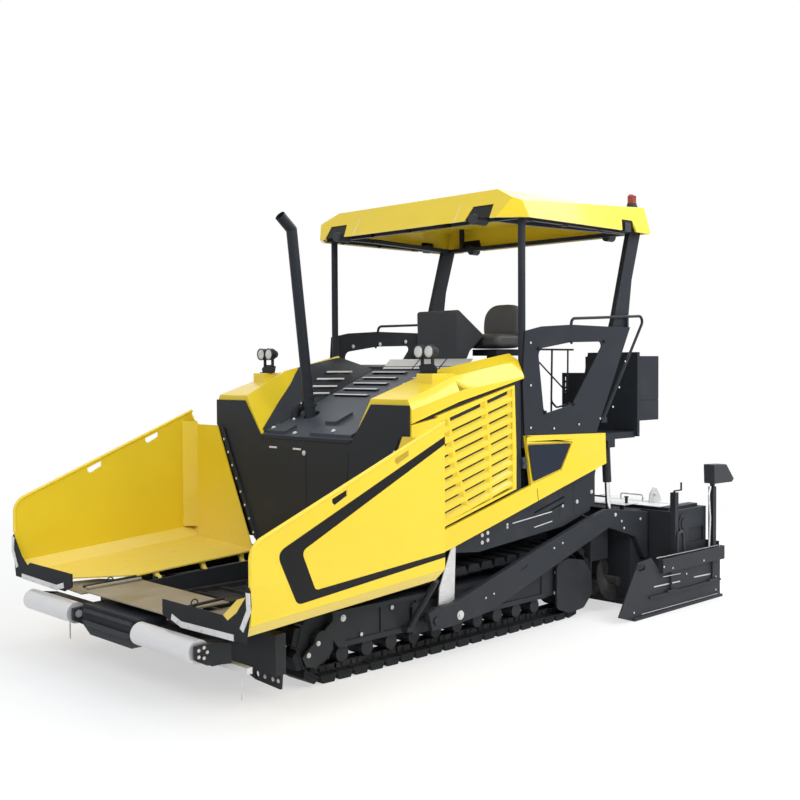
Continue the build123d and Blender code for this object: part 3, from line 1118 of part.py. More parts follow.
def auger_flight(start, end, turn):
    """Helical flight as a ruled solid through radial sections."""
    steps = round(abs(end - start) / AUGER_PITCH * 24)
    sections = []
    for index in range(steps + 1):
        angle = radians(turn * index * 15)
        x = start + (end - start) * index / steps
        sections.append([
            (x + side * FLIGHT_THICK / 2, AUGER_Y + radius * cos(angle), AUGER_Z + radius * sin(angle))
            for side, radius in (
                (-1, AUGER_SHAFT_R - 6), (-1, AUGER_R), (1, AUGER_R), (1, AUGER_SHAFT_R - 6),
            )
        ])
    return shear_loft(sections)


def make_augers():
    start = 60 + GAP
    end = start + AUGER_LONG
    shaft = cross_rod(start, end, AUGER_Y, AUGER_Z, AUGER_SHAFT_R)
    put_pair("auger", shaft, auger_flight(start + 40, end - 30, 1))
    base = FRAME_REAR_Y + 12 + GAP
    gear = side_plate(-60, 60, [
        (AUGER_Y - 60, AUGER_Z - 70), (AUGER_Y - 60, AUGER_Z + 80), (base + 15, TUNNEL_TOP_Z - 60), (base + 15, TUNNEL_TOP_Z + 60),
        (base + 100, TUNNEL_TOP_Z + 60), (AUGER_Y + 60, AUGER_Z + 150), (AUGER_Y + 60, AUGER_Z - 70),
    ])
    beam = block(-ARM_IN + 120, ARM_IN - 120, base, base + 70, TUNNEL_TOP_Z + 20, TUNNEL_TOP_Z + 90)
    ends = both(block(ARM_IN - 140, ARM_IN - 120, base, AUGER_Y + 40, AUGER_Z + AUGER_R + RUN, TUNNEL_TOP_Z + 90))
    put("auger_carrier", gear, beam, ends)


def make_cylinders():
    """Cylinders that lift the screed, from the platform down to the tow arms."""
    top = Vector(LIFT_X, LIFT_TOP_Y, LIFT_TOP_Z)
    eye = Vector(LIFT_X, LIFT_EYE_Y, LIFT_EYE_Z)
    way = (eye - top).normalized()
    bore = rod(top + way * 20, top + way * (LIFT_BARREL + 5), LIFT_ROD_R + 1)
    barrel = rod(top, top + way * LIFT_BARREL, LIFT_R) - bore
    pin = cross_rod(LIFT_X - LIFT_R - 25, LIFT_X + LIFT_R + 25, LIFT_TOP_Y, LIFT_TOP_Z, PIN_R)
    put_pair("lift_barrel", barrel, pin)
    ring = cross_rod(LIFT_X - LIFT_ROD_R, LIFT_X + LIFT_ROD_R, LIFT_EYE_Y, LIFT_EYE_Z, PIN_R + 18)
    pin = cross_rod(LIFT_X - LIFT_ROD_R - 18, ARM_IN - 1, LIFT_EYE_Y, LIFT_EYE_Z, PIN_R)
    put_pair("lift_rod", rod(top + way * (LIFT_BARREL - 60), eye, LIFT_ROD_R), ring, pin)


for make in (
    make_tracks, make_track_frames, make_main_frame, make_lashing_plates, make_conveyor, make_engine,
    make_front_wall, make_hood, make_doors, make_sides, make_platform, make_cab_sides, make_console, make_seat,
    make_cabinet, make_canopy, make_exhaust, make_wings, make_front, make_screed, make_augers, make_cylinders,
):
    make()

for name, shape in nodes.items():
    export_step(shape, f"parts/{name}.step")
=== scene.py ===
"""Dresses a tracked asphalt paver: paint, steel, rubber and the small fittings on each of its assemblies."""
import json
import math

import bmesh
import bpy
from mathutils import Matrix, Vector
from mathutils.bvhtree import BVHTree


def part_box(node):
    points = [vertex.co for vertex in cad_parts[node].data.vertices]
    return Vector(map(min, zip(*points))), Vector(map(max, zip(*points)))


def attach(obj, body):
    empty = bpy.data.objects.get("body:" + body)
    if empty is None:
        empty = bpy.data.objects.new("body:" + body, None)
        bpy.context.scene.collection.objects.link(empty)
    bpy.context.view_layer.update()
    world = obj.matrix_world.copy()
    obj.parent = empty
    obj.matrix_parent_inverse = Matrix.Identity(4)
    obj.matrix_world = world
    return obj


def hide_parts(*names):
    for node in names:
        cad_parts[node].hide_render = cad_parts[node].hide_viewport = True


bl_info = {
    "name": "Asphalt Paver Dresser",
    "version": (1, 0, 0),
    "blender": (4, 5, 0),
    "location": "3D View > Sidebar > Paver",
    "description": "Finishes a tracked asphalt paver with paint, fittings and a studio",
    "category": "Object",
}

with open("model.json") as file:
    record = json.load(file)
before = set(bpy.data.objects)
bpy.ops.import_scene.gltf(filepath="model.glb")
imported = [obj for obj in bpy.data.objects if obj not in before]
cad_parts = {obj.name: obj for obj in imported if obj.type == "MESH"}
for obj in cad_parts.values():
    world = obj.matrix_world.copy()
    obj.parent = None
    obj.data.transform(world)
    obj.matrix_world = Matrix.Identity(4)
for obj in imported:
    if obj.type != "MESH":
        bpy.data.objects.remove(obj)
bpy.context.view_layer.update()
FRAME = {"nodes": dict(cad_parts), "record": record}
NODES = FRAME["nodes"]
BODY_OF = {
    node: body
    for body, nodes in FRAME["record"]["behaviour"]["bodies"].items()
    for node in nodes
}
SLOT_OF = {part["node"]: part["material_slot"] for part in FRAME["record"]["subparts"]}
SIDES = (("left", 1), ("right", -1))
ACROSS, ALONG, UP = (Vector(axis) for axis in ((1, 0, 0), (0, 1, 0), (0, 0, 1)))

MATERIALS = {}  # finish name: material, filled by the first step
TREES = {}      # maker of a repeating tree: the tree and its keys
SURFACES = {}   # CAD node: search tree over its faces


# ---------------------------------------------------------------- shader maths
def math_node(tree, operation, values, clamp=False):
    """One Math node over terms and plain numbers."""
    node = tree.nodes.new("ShaderNodeMath")
    node.operation = operation
    node.use_clamp = clamp
    for socket, value in zip(node.inputs, values):
        if isinstance(value, Term):
            tree.links.new(value.socket, socket)
        else:
            socket.default_value = float(value)
    return Term(tree, node.outputs[0])


class Term:
    """A socket that can be used in a sum; each operation adds one Math node."""

    def __init__(self, tree, socket):
        self.tree = tree
        self.socket = socket

    def calc(self, operation, *others, clamp=False):
        return math_node(self.tree, operation, (self,) + others, clamp)

    def __add__(self, other):
        return self.calc("ADD", other)

    def __mul__(self, other):
        return self.calc("MULTIPLY", other)

    def __sub__(self, other):
        return self.calc("SUBTRACT", other)

    def __rsub__(self, other):
        return math_node(self.tree, "SUBTRACT", (other, self))

    def __truediv__(self, other):
        return self.calc("DIVIDE", other)

    __radd__ = __add__

    def clamped(self):
        return self.calc("ADD", 0.0, clamp=True)

    def above(self, edge, soft):
        """0 below the edge and 1 above it, over a soft band."""
        return ((self - (edge - soft)) / (2 * soft)).clamped()

    def below(self, edge, soft):
        return 1 - self.above(edge, soft)

    def least(self, other):
        return self.calc("MINIMUM", other)

    def most(self, other):
        return self.calc("MAXIMUM", other)


class Finish:
    """A material under construction, mapped in object coordinates."""

    def __init__(self, name):
        self.material = bpy.data.materials.new(name)
        self.material.use_nodes = True
        self.tree = self.material.node_tree
        self.tree.nodes.clear()
        self.out = self.tree.nodes.new("ShaderNodeOutputMaterial")
        self.shader = self.tree.nodes.new("ShaderNodeBsdfPrincipled")
        self.tree.links.new(self.shader.outputs[0], self.out.inputs[0])
        self.place = self.node("ShaderNodeTexCoord").outputs["Object"]

    def node(self, kind, first=None, **inputs):
        """New node with its first input and its named inputs fed."""
        made = self.tree.nodes.new(kind)
        if first is not None:
            self.feed(made.inputs[0], first)
        for key, value in inputs.items():
            self.feed(made.inputs[key], value)
        return made

    def feed(self, socket, value):
        """Links a term or a socket; sets a number, a vector or a colour."""
        value = value.socket if isinstance(value, Term) else value
        if isinstance(value, bpy.types.NodeSocket):
            self.tree.links.new(value, socket)
        elif socket.type == "RGBA":
            socket.default_value = (*value, 1.0)
        else:
            socket.default_value = value

    def axes(self):
        made = self.node("ShaderNodeSeparateXYZ", self.place)
        return [Term(self.tree, out) for out in made.outputs]

    def height(self):
        return self.axes()[2]

    def noise(self, scale, detail=3.0, rough=0.5, stretch=None):
        where = self.place
        if stretch:
            where = self.node("ShaderNodeMapping", self.place, Scale=stretch).outputs[0]
        made = self.node("ShaderNodeTexNoise", Vector=where, Scale=scale, Detail=detail, Roughness=rough)
        return Term(self.tree, made.outputs[0])

    def cells(self, scale, feature="F1"):
        made = self.node("ShaderNodeTexVoronoi", Vector=self.place, Scale=scale)
        made.feature = feature
        return Term(self.tree, made.outputs["Distance"])

    def blend(self, mask, first, second):
        """Colour that goes from the first to the second with a mask."""
        made = self.tree.nodes.new("ShaderNodeMix")
        made.data_type = "RGBA"
        for index, value in ((0, mask), (6, first), (7, second)):
            self.feed(made.inputs[index], value)
        return made.outputs[2]

    def tones(self, mask, colour, low, high):
        """One colour in two strengths, by a mask."""
        dark, light = (tuple(min(1.0, part * share) for part in colour) for share in (low, high))
        return self.blend(mask, dark, light)

    def relief(self, height, depth, strength):
        made = self.node("ShaderNodeBump", Strength=strength, Distance=depth, Height=height)
        self.feed(self.shader.inputs["Normal"], made.outputs[0])

    def set(self, **values):
        for key, value in values.items():
            self.feed(self.shader.inputs[key.replace("_", " ")], value)


def gloss_paint(name, colour, dusty=0.1):
    """Sprayed body colour under a clear coat, with a little road dust low down."""
    look = Finish(name)
    cloud, speck = look.noise(2.2, 4.0), look.noise(60.0, 2.0)
    low_dust = look.height().below(0.9, 0.7) * dusty * (0.4 + cloud)
    film = low_dust.most(speck.above(0.7, 0.05) * dusty * 0.3)
    tone = look.tones(cloud.above(0.5, 0.35), colour, 0.965, 1.03)
    look.set(Base_Color=look.blend(film, tone, (0.42, 0.38, 0.3)), Roughness=0.33 + film * 0.9 + speck * 0.04)
    look.set(Coat_Weight=0.38 - film * 1.2, Coat_Roughness=0.07, Specular_IOR_Level=0.2)
    look.relief(look.noise(230.0, 1.0), 0.0012, 0.1)
    return look.material


def satin_paint(name, colour, dusty=0.12, rough=0.42):
    """Powder coat: fine grained, with worn and dusty places."""
    look = Finish(name)
    cloud, grain = look.noise(3.0, 4.0), look.noise(420.0, 2.0)
    film = look.height().below(0.7, 0.7) * dusty * (0.3 + cloud) + cloud.above(0.66, 0.1) * dusty * 0.5
    tone = look.tones(grain, colour, 0.82, 1.2)
    look.set(Base_Color=look.blend(film, tone, (0.16, 0.15, 0.14)))
    look.set(Roughness=rough + film * 0.8 + grain * 0.1 - cloud * 0.05, Specular_IOR_Level=0.14)
    look.relief(grain, 0.0015, 0.25)
    return look.material


def hopper_paint(name, colour):
    """Body colour scoured by mix on the inner side: dusty streaks and fine cuts towards the floor."""
    look = Finish(name)
    side, _, height = look.axes()
    cloud = look.noise(1.6, 5.0, 0.6)
    streak = look.noise(9.0, 4.0, 0.6, stretch=(1.0, 0.35, 2.5))
    scratch = look.noise(46.0, 3.0, 0.55, stretch=(0.5, 0.12, 2.2))
    inside = side.calc("ABSOLUTE").below(1.622, 0.004)
    low = height.below(0.95, 0.42)
    wear = (low * (streak * 0.75 + cloud * 0.35) * inside).clamped()
    cuts = scratch.above(0.66, 0.03) * inside * (0.25 + low * 0.5)
    tone = look.tones(cloud.above(0.5, 0.3), colour, 0.95, 1.03)
    tone = look.blend(wear * 0.55, tone, (0.78, 0.66, 0.36))
    look.set(Base_Color=look.blend(cuts * 0.35, tone, (0.5, 0.44, 0.3)))
    look.set(Roughness=0.32 + wear * 0.3 + cuts * 0.15, Specular_IOR_Level=0.25)
    look.set(Coat_Weight=0.45 - wear * 0.4, Coat_Roughness=0.09)
    look.relief(scratch + look.noise(230.0, 1.0) * 0.4, 0.001, 0.12)
    return look.material


def bare_steel(name, colour, rough=0.3, stretch=(1, 40, 40), metal=1.0, stain=0.25):
    """Turned, ground or plated steel with fine lines and light staining."""
    look = Finish(name)
    lines, cloud = look.noise(14.0, 3.0, 0.6, stretch=stretch), look.noise(6.0, 4.0)
    spots = cloud.above(0.6, 0.08) * stain
    tone = look.tones(lines, colour, 0.78, 1.1)
    look.set(Base_Color=look.blend(spots, tone, (0.2, 0.16, 0.12)), Metallic=metal - spots * 0.6)
    look.set(Roughness=rough + lines * 0.12 + spots * 0.8)
    look.relief(lines, 0.0008, 0.2)
    return look.material


def worn_plate(name, colour):
    """Scoured steel plate with a tan film of old binder."""
    look = Finish(name)
    lines, cloud = look.noise(18.0, 4.0, 0.6, stretch=(3.0, 0.2, 1.0)), look.noise(3.0, 5.0, 0.6)
    film = cloud.above(0.52, 0.15)
    tone = look.tones(lines, colour, 0.7, 1.25)
    look.set(Base_Color=look.blend(film * 0.6, tone, (0.36, 0.3, 0.2)), Metallic=0.75 - film * 0.6)
    look.set(Roughness=0.38 + film * 0.25 + lines * 0.1)
    look.relief(lines + cloud, 0.0012, 0.25)
    return look.material


def rough_casting(name, colour):
    """Rough dark castings: pitted, polished a little where they rub."""
    look = Finish(name)
    pits, cloud = look.noise(60.0, 5.0, 0.65), look.noise(5.0, 4.0)
    rub = look.noise(24.0, 3.0).above(0.58, 0.08)
    tone = look.tones(pits, colour, 0.6, 1.5)
    tone = look.blend(cloud.above(0.55, 0.15) * 0.35, tone, (0.1, 0.09, 0.08))
    look.set(Base_Color=look.blend(rub * 0.25, tone, (0.13, 0.13, 0.135)), Metallic=rub * 0.5)
    look.set(Roughness=0.62 - rub * 0.2 + pits * 0.15, Specular_IOR_Level=0.2)
    look.relief(pits, 0.003, 0.35)
    return look.material


def moulded(name, colour):
    """Moulded plastic with a leather-like grain."""
    look = Finish(name)
    cell, cloud = look.cells(260.0), look.noise(5.0, 3.0)
    look.set(Base_Color=look.tones(cloud, colour, 0.85, 1.2))
    look.set(Roughness=0.45 + cell * 0.15 + cloud * 0.05, Specular_IOR_Level=0.3)
    look.relief(cell, 0.0009, 0.35)
    return look.material


def rubber(name, colour):
    """Dull black rubber with pale, faded clouds."""
    look = Finish(name)
    cloud, grain = look.noise(7.0, 4.0), look.noise(150.0, 2.0)
    look.set(Base_Color=look.tones(cloud.above(0.5, 0.2), colour, 1.0, 1.7))
    look.set(Roughness=0.62 + cloud * 0.2 - grain * 0.05, Specular_IOR_Level=0.2)
    look.relief(grain, 0.001, 0.3)
    return look.material


def seat_leather(name, colour):
    """Seat cover with a creased grain."""
    look = Finish(name)
    cell, cloud = look.cells(340.0, "DISTANCE_TO_EDGE"), look.noise(8.0, 3.0)
    look.set(Base_Color=look.tones(cloud, colour, 0.8, 1.25), Roughness=0.5 + cloud * 0.12)
    look.relief(cell.least(0.12), 0.0018, 0.6)
    return look.material


def lens(name, colour, rough=0.12):
    """Ribbed plastic or glass lens."""
    look = Finish(name)
    ribs = (look.height() * 420.0).calc("SINE")
    cloud = look.noise(12.0, 2.0)
    look.set(Base_Color=look.tones(cloud, colour, 0.8, 1.15), Roughness=rough + ribs * 0.02)
    look.set(Coat_Weight=0.6 + cloud * 0.2, Coat_Roughness=0.05)
    look.relief(ribs, 0.0012, 0.4)
    return look.material


def build_materials(settings):
    yellow, dark = tuple(settings.body_colour), tuple(settings.frame_colour)
    deck = tuple(part * 2.2 for part in dark)
    zinc_lines, chrome_lines = (30, 1, 3), (30, 30, 1)
    MATERIALS.update({
        "yellow": gloss_paint("body_yellow", yellow),
        "hopper": hopper_paint("hopper_yellow", yellow),
        # frame_dark_and_painted_shade also serves as painted shade on the deck's side plates
        "dark": satin_paint("frame_dark_and_painted_shade", dark),
        "deck": satin_paint("deck_dark", deck, rough=0.5),
        "navy": satin_paint("insert_navy", (0.012, 0.019, 0.034), rough=0.3, dusty=0.02),
        # black_and_painted_shade also serves as painted shade in slots and recesses
        "black": satin_paint("black_and_painted_shade", (0.01, 0.01, 0.011), rough=0.35, dusty=0.05),
        "track": rough_casting("track_castings", (0.016, 0.017, 0.019)),
        "steel": bare_steel("roller_steel", (0.72, 0.72, 0.73), metal=0.45, stain=0.03),
        # zinc_and_painted_highlight also serves as painted highlight on louvre lips and painted reflection on
        # the deck's rear plates
        "zinc": bare_steel("zinc_and_painted_highlight", (0.7, 0.7, 0.7), 0.36, zinc_lines, metal=0.5, stain=0.08),
        "chrome": bare_steel("cylinder_chrome", (0.8, 0.8, 0.82), 0.08, chrome_lines, stain=0.03),
        "plate": worn_plate("apron_plate", (0.25, 0.225, 0.175)),
        "plastic": moulded("moulded_plastic", (0.03, 0.033, 0.038)),
        "rubber": rubber("flap_rubber", (0.01, 0.011, 0.013)),
        "leather": seat_leather("seat_cover", (0.05, 0.05, 0.052)),
        "red": lens("beacon_lens", (0.3, 0.006, 0.005)),
        "clear": lens("lamp_glass", (0.62, 0.64, 0.66), rough=0.06),
        "iron": rough_casting("engine_iron", (0.06, 0.06, 0.06)),
    })


SLOT_FINISH = {
    "yellow_paint": "yellow", "dark_paint": "dark", "black_rubber": "rubber", "track_steel": "track",
    "bright_steel": "steel", "worn_steel": "plate", "chrome_rod": "chrome", "dark_plastic": "plastic",
    "seat_cover": "leather", "red_lens": "red", "engine_iron": "iron",
}
NODE_FINISH = {
    "left_hopper_wing": "hopper", "right_hopper_wing": "hopper", "hanger_plates": "zinc", "guide_bar": "zinc",
    "hood_deck": "deck", "conveyor": "track",
}


# ---------------------------------------------------------------- mesh helpers
def finish_of(node):
    return MATERIALS[NODE_FINISH.get(node, SLOT_FINISH[SLOT_OF[node]])]


def added(name, data):
    """A new object in the scene."""
    item = bpy.data.objects.new(name, data)
    bpy.context.scene.collection.objects.link(item)
    return item


def linked(name, mesh, finish, body):
    """A new piece on a body, with its finish."""
    piece = added(name, mesh)
    mesh.materials.clear()
    mesh.materials.append(finish)
    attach(piece, body)
    return piece


def broken(piece, width, angle=30.0):
    """Breaks a piece's sharp edges, with smooth shading over them."""
    edge = piece.modifiers.new("edge", "BEVEL")
    edge.width = width
    edge.segments = 2
    edge.limit_method = "ANGLE"
    edge.angle_limit = math.radians(angle)
    edge.harden_normals = True


def smoothed(mesh, angle):
    mesh.shade_smooth()
    mesh.set_sharp_from_angle(angle=math.radians(angle))


def dressed(node, bevel):
    """The CAD node's own form with its edges broken, standing for the node."""
    mesh = NODES[node].data.copy()
    shape = bmesh.new()
    shape.from_mesh(mesh)
    bmesh.ops.remove_doubles(shape, verts=shape.verts, dist=0.00002)
    bmesh.ops.dissolve_limit(shape, angle_limit=math.radians(0.6), verts=shape.verts, edges=shape.edges)
    shape.to_mesh(mesh)
    shape.free()
    piece = linked(node + "_form", mesh, finish_of(node), BODY_OF[node])
    broken(piece, bevel, angle=28.0)
    smoothed(mesh, 30.0)
    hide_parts(node)


def plain_mesh(name, verts, faces, smooth=None):
    mesh = bpy.data.meshes.new(name)
    mesh.from_pydata([tuple(v) for v in verts], [], faces)
    shape = bmesh.new()
    shape.from_mesh(mesh)
    bmesh.ops.remove_doubles(shape, verts=shape.verts, dist=0.00001)
    bmesh.ops.recalc_face_normals(shape, faces=shape.faces)
    shape.to_mesh(mesh)
    shape.free()
    if smooth is not None:
        smoothed(mesh, smooth)
    return mesh


def joined(parts):
    """One list of vertices and one of faces from several pairs of them."""
    verts, faces = [], []
    for more_verts, more_faces in parts:
        faces += [tuple(len(verts) + i for i in face) for face in more_faces]
        verts += more_verts
    return verts, faces


def flipped_x(parts):
    """The same vertices and faces on the other side of the machine."""
    verts, faces = parts
    return [(-v[0], v[1], v[2]) for v in verts], [tuple(reversed(face)) for face in faces]


def group(name, parts, finish, body="root", flip=False, edge=0.0):
    """One piece from several parts; flip puts parts made for the left side on the right."""
    parts = [flipped_x(part) for part in parts] if flip else parts
    piece = linked(name, plain_mesh(name, *joined(parts), 35.0), MATERIALS[finish], body)
    if edge:
        broken(piece, edge)
    return piece


def rounded(points, radius, steps=5, closed=True):
    """Outline with rounded corners; the radius is one number, or one for each corner."""
    count = len(points)
    made = []
    for index, point in enumerate(points):
        here = Vector(point)
        own = radius[index] if isinstance(radius, tuple) else radius
        if not own or (not closed and index in (0, count - 1)):
            made.append(here)
            continue
        before = Vector(points[index - 1]) - here
        after = Vector(points[(index + 1) % count]) - here
        reach = own / max(math.tan(before.angle(after) / 2), 1e-3)
        reach = min(reach, 0.45 * before.length, 0.45 * after.length)
        start = here + before.normalized() * reach
        end = here + after.normalized() * reach
        for step in range(steps + 1):
            share = step / steps
            made.append(start * (1 - share) ** 2 + here * 2 * share * (1 - share) + end * share * share)
    return made


def circle(centre, across, up, radius, sides):
    """Points on a circle in the plane of two axes."""
    turns = [2 * math.pi * step / sides for step in range(sides)]
    return [centre + across * (radius * math.cos(turn)) + up * (radius * math.sin(turn)) for turn in turns]


def ring_faces(rings, sides, closed=False):
    """Faces over a stack of rings of vertices, with two flat ends unless the stack closes."""
    faces = []
    for ring in range(rings if closed else rings - 1):
        low, high = ring * sides, (ring + 1) % rings * sides
        faces += [(low + i, low + (i + 1) % sides, high + (i + 1) % sides, high + i) for i in range(sides)]
    if not closed:
        faces += [tuple(reversed(range(sides))), tuple(range((rings - 1) * sides, rings * sides))]
    return faces


def slab_parts(outline, origin, across, up, thick):
    """A plate whose outline lies in the plane of two axes and that grows along their cross product."""
    across, up, origin = Vector(across), Vector(up), Vector(origin)
    out = across.cross(up).normalized() * thick
    base = [origin + across * p[0] + up * p[1] for p in outline]
    return base + [v + out for v in base], ring_faces(2, len(base))


def side_plate(outline, x, thick):
    """A plate with its (y, z) outline at x, growing towards +X."""
    return slab_parts(outline, (x, 0, 0), ALONG, UP, thick)


def front_plate(outline, y, thick):
    """A plate with its (x, z) outline at y, growing towards the front."""
    return slab_parts(outline, (0, y, 0), ACROSS, UP, thick)


def box_parts(low, high):
    x0, y0, z0 = low
    x1, y1, z1 = high
    return slab_parts([(x0, y0), (x1, y0), (x1, y1), (x0, y1)], (0, 0, z0), ACROSS, ALONG, z1 - z0)


def spun_parts(centre, way, profile, sides, across=None):
    """A turned part; each row of its profile is a radius and a distance along the way."""
    centre, way = Vector(centre), Vector(way).normalized()
    across = way.orthogonal().normalized() if across is None else across
    up = way.cross(across)
    verts = []
    for radius, out in profile:
        verts += circle(centre + way * out, across, up, radius, sides)
    return verts, ring_faces(len(profile), sides)


def round_parts(start, end, radius, sides=24, tip=None):
    """A round bar; tip is the radius at its far end."""
    way = Vector(end) - Vector(start)
    return spun_parts(start, way, [(radius, 0), (tip or radius, way.length)], sides)


def tube_parts(points, radius, bend=0.03, sides=12, steps=5, closed=False):
    """A tube along points, with rounded bends."""
    line = rounded(points, bend, steps, closed)
    verts = []
    count = len(line)
    side = None
    for index, here in enumerate(line):
        before = line[index - 1] if closed or index else here
        after = line[(index + 1) % count] if closed or index < count - 1 else here
        way = (after - before).normalized()
        side = (way.orthogonal() if side is None else side - way * side.dot(way)).normalized()
        verts += circle(here, side, way.cross(side), radius, sides)
    return verts, ring_faces(count, sides, closed)


def face_of(node, start, way):
    """Where a straight line first meets a CAD node; None where it misses."""
    if node not in SURFACES:
        mesh = NODES[node].data
        faces = [tuple(face.vertices) for face in mesh.polygons]
        SURFACES[node] = BVHTree.FromPolygons([v.co for v in mesh.vertices], faces)
    return SURFACES[node].ray_cast(Vector(start), Vector(way))[0]


# ---------------------------------------------------------------- repeated parts
def open_tree(name, rows):
    """New geometry tree; each row is an input's key, label, socket kind and first value."""
    tree = bpy.data.node_groups.new(name, "GeometryNodeTree")
    tree.interface.new_socket("Geometry", in_out="INPUT", socket_type="NodeSocketGeometry")
    keys = {}
    for key, label, kind, value in rows + (("finish", "Finish", "NodeSocketMaterial", None),):
        socket = tree.interface.new_socket(label, in_out="INPUT", socket_type=kind)
        if value is not None:
            socket.default_value = value
        keys[key] = socket.identifier
    tree.interface.new_socket("Geometry", in_out="OUTPUT", socket_type="NodeSocketGeometry")
    return tree, keys, tree.nodes.new("NodeGroupInput").outputs


def close_tree(tree, given, **sources):
    """Spreads instances over points, makes them real and gives them their finish."""
    new, link = tree.nodes.new, tree.links.new
    spread = new("GeometryNodeInstanceOnPoints")
    for name, socket in sources.items():
        link(socket, spread.inputs[name])
    real, paint = new("GeometryNodeRealizeInstances"), new("GeometryNodeSetMaterial")
    link(spread.outputs[0], real.inputs[0])
    link(real.outputs[0], paint.inputs["Geometry"])
    link(given["Finish"], paint.inputs["Material"])
    link(paint.outputs[0], new("NodeGroupOutput").inputs[0])


def bolt_tree():
    """Points with a direction and a size become washers with chamfered hexagon heads."""
    tree, keys, given = open_tree("bolt_field", (
        ("radius", "Head Radius", "NodeSocketFloat", 0.012),
        ("height", "Head Height", "NodeSocketFloat", 0.008),
        ("sides", "Head Sides", "NodeSocketInt", 6),
    ))
    new, link = tree.nodes.new, tree.links.new
    radius, height = Term(tree, given["Head Radius"]), Term(tree, given["Head Height"])
    join = new("GeometryNodeJoinGeometry")
    # rows: sides (none: the head's own), shares of the radius below and above, and of the height
    for sides, low, high, depth, lift in (
        (None, 1.0, 1.0, 0.7, 0.35), (None, 1.0, 0.82, 0.3, 0.85), (16, 1.45, 1.4, 0.25, 0.12),
    ):
        cone, move = new("GeometryNodeMeshCone"), new("GeometryNodeTransform")
        place = new("ShaderNodeCombineXYZ")
        if sides is None:
            link(given["Head Sides"], cone.inputs["Vertices"])
        else:
            cone.inputs["Vertices"].default_value = sides
        link((radius * low).socket, cone.inputs["Radius Bottom"])
        link((radius * high).socket, cone.inputs["Radius Top"])
        link((height * depth).socket, cone.inputs["Depth"])
        link((height * (lift - depth / 2)).socket, place.inputs[2])
        link(place.outputs[0], move.inputs["Translation"])
        link(cone.outputs["Mesh"], move.inputs["Geometry"])
        link(move.outputs[0], join.inputs[0])
    stored = {}
    for name, kind in (("way", "FLOAT_VECTOR"), ("size", "FLOAT")):
        node = new("GeometryNodeInputNamedAttribute")
        node.data_type = kind
        node.inputs["Name"].default_value = name
        stored[name] = node.outputs["Attribute"]
    turn = new("FunctionNodeAlignRotationToVector")
    turn.axis = "Z"
    link(stored["way"], turn.inputs["Vector"])
    close_tree(tree, given, Points=given["Geometry"], Instance=join.outputs[0], Rotation=turn.outputs[0],
               Scale=stored["size"])
    return tree, keys


def link_tree():
    """Copies of a template follow a closed path, upright to the path's plane."""
    tree, keys, given = open_tree("link_run", (
        ("count", "Count", "NodeSocketInt", 10),
        ("template", "Template", "NodeSocketObject", None),
    ))
    new, link = tree.nodes.new, tree.links.new
    curve, points = new("GeometryNodeMeshToCurve"), new("GeometryNodeCurveToPoints")
    link(given["Geometry"], curve.inputs[0])
    points.mode = "COUNT"
    link(curve.outputs[0], points.inputs["Curve"])
    link(given["Count"], points.inputs["Count"])
    turn = new("FunctionNodeAxesToRotation")
    turn.primary_axis = "Y"
    turn.secondary_axis = "X"
    link(points.outputs["Tangent"], turn.inputs["Primary Axis"])
    turn.inputs["Secondary Axis"].default_value = (1, 0, 0)
    info = new("GeometryNodeObjectInfo")
    info.transform_space = "ORIGINAL"
    link(given["Template"], info.inputs[0])
    close_tree(tree, given, Points=points.outputs["Points"], Instance=info.outputs["Geometry"],
               Rotation=turn.outputs[0])
    return tree, keys


def repeated(piece, maker, finish, body, **values):
    """Runs a repeating tree on a piece, keeps the result as its mesh and puts it on a body."""
    if maker not in TREES:
        TREES[maker] = maker()
    tree, keys = TREES[maker]
    modifier = piece.modifiers.new("repeat", "NODES")
    modifier.node_group = tree
    for key, value in {"finish": MATERIALS[finish], **values}.items():
        modifier[keys[key]] = value
    bpy.context.view_layer.update()
    made = bpy.data.meshes.new_from_object(piece.evaluated_get(bpy.context.evaluated_depsgraph_get()))
    piece.modifiers.clear()
    piece.data = made
    made.set_sharp_from_angle(angle=math.radians(30))
    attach(piece, body)
    return piece


def bolts(name, spots, body="root"):
    """A field of zinc bolts; each spot is (x, y, z), (direction) and a size."""
    mesh = bpy.data.meshes.new(name)
    mesh.from_pydata([spot[0] for spot in spots], [], [])
    mesh.attributes.new("way", "FLOAT_VECTOR", "POINT")
    mesh.attributes.new("size", "FLOAT", "POINT")
    for index, (_, direction, scale) in enumerate(spots):
        mesh.attributes["way"].data[index].vector = direction
        mesh.attributes["size"].data[index].value = scale
    repeated(added(name, mesh), bolt_tree, "zinc", body, radius=0.012, height=0.008, sides=6)


def side_spots(x, rows, way=1):
    """Spots for bolts at x on both sides, facing out, or in with way -1; each row is y, z and a size."""
    return [((sign * x, y, z), (sign * way, 0, 0), size) for _, sign in SIDES for y, z, size in rows]


def run_of_links(name, path, count, template, finish):
    """Copies of a template mesh round a closed path."""
    total = len(path)
    mesh = bpy.data.meshes.new(name)
    mesh.from_pydata(path, [(i, (i + 1) % total) for i in range(total)], [])
    piece, sample = added(name, mesh), added(name + "_template", template)
    repeated(piece, link_tree, finish, "root", count=count, template=sample)
    bpy.data.objects.remove(sample)
    return piece


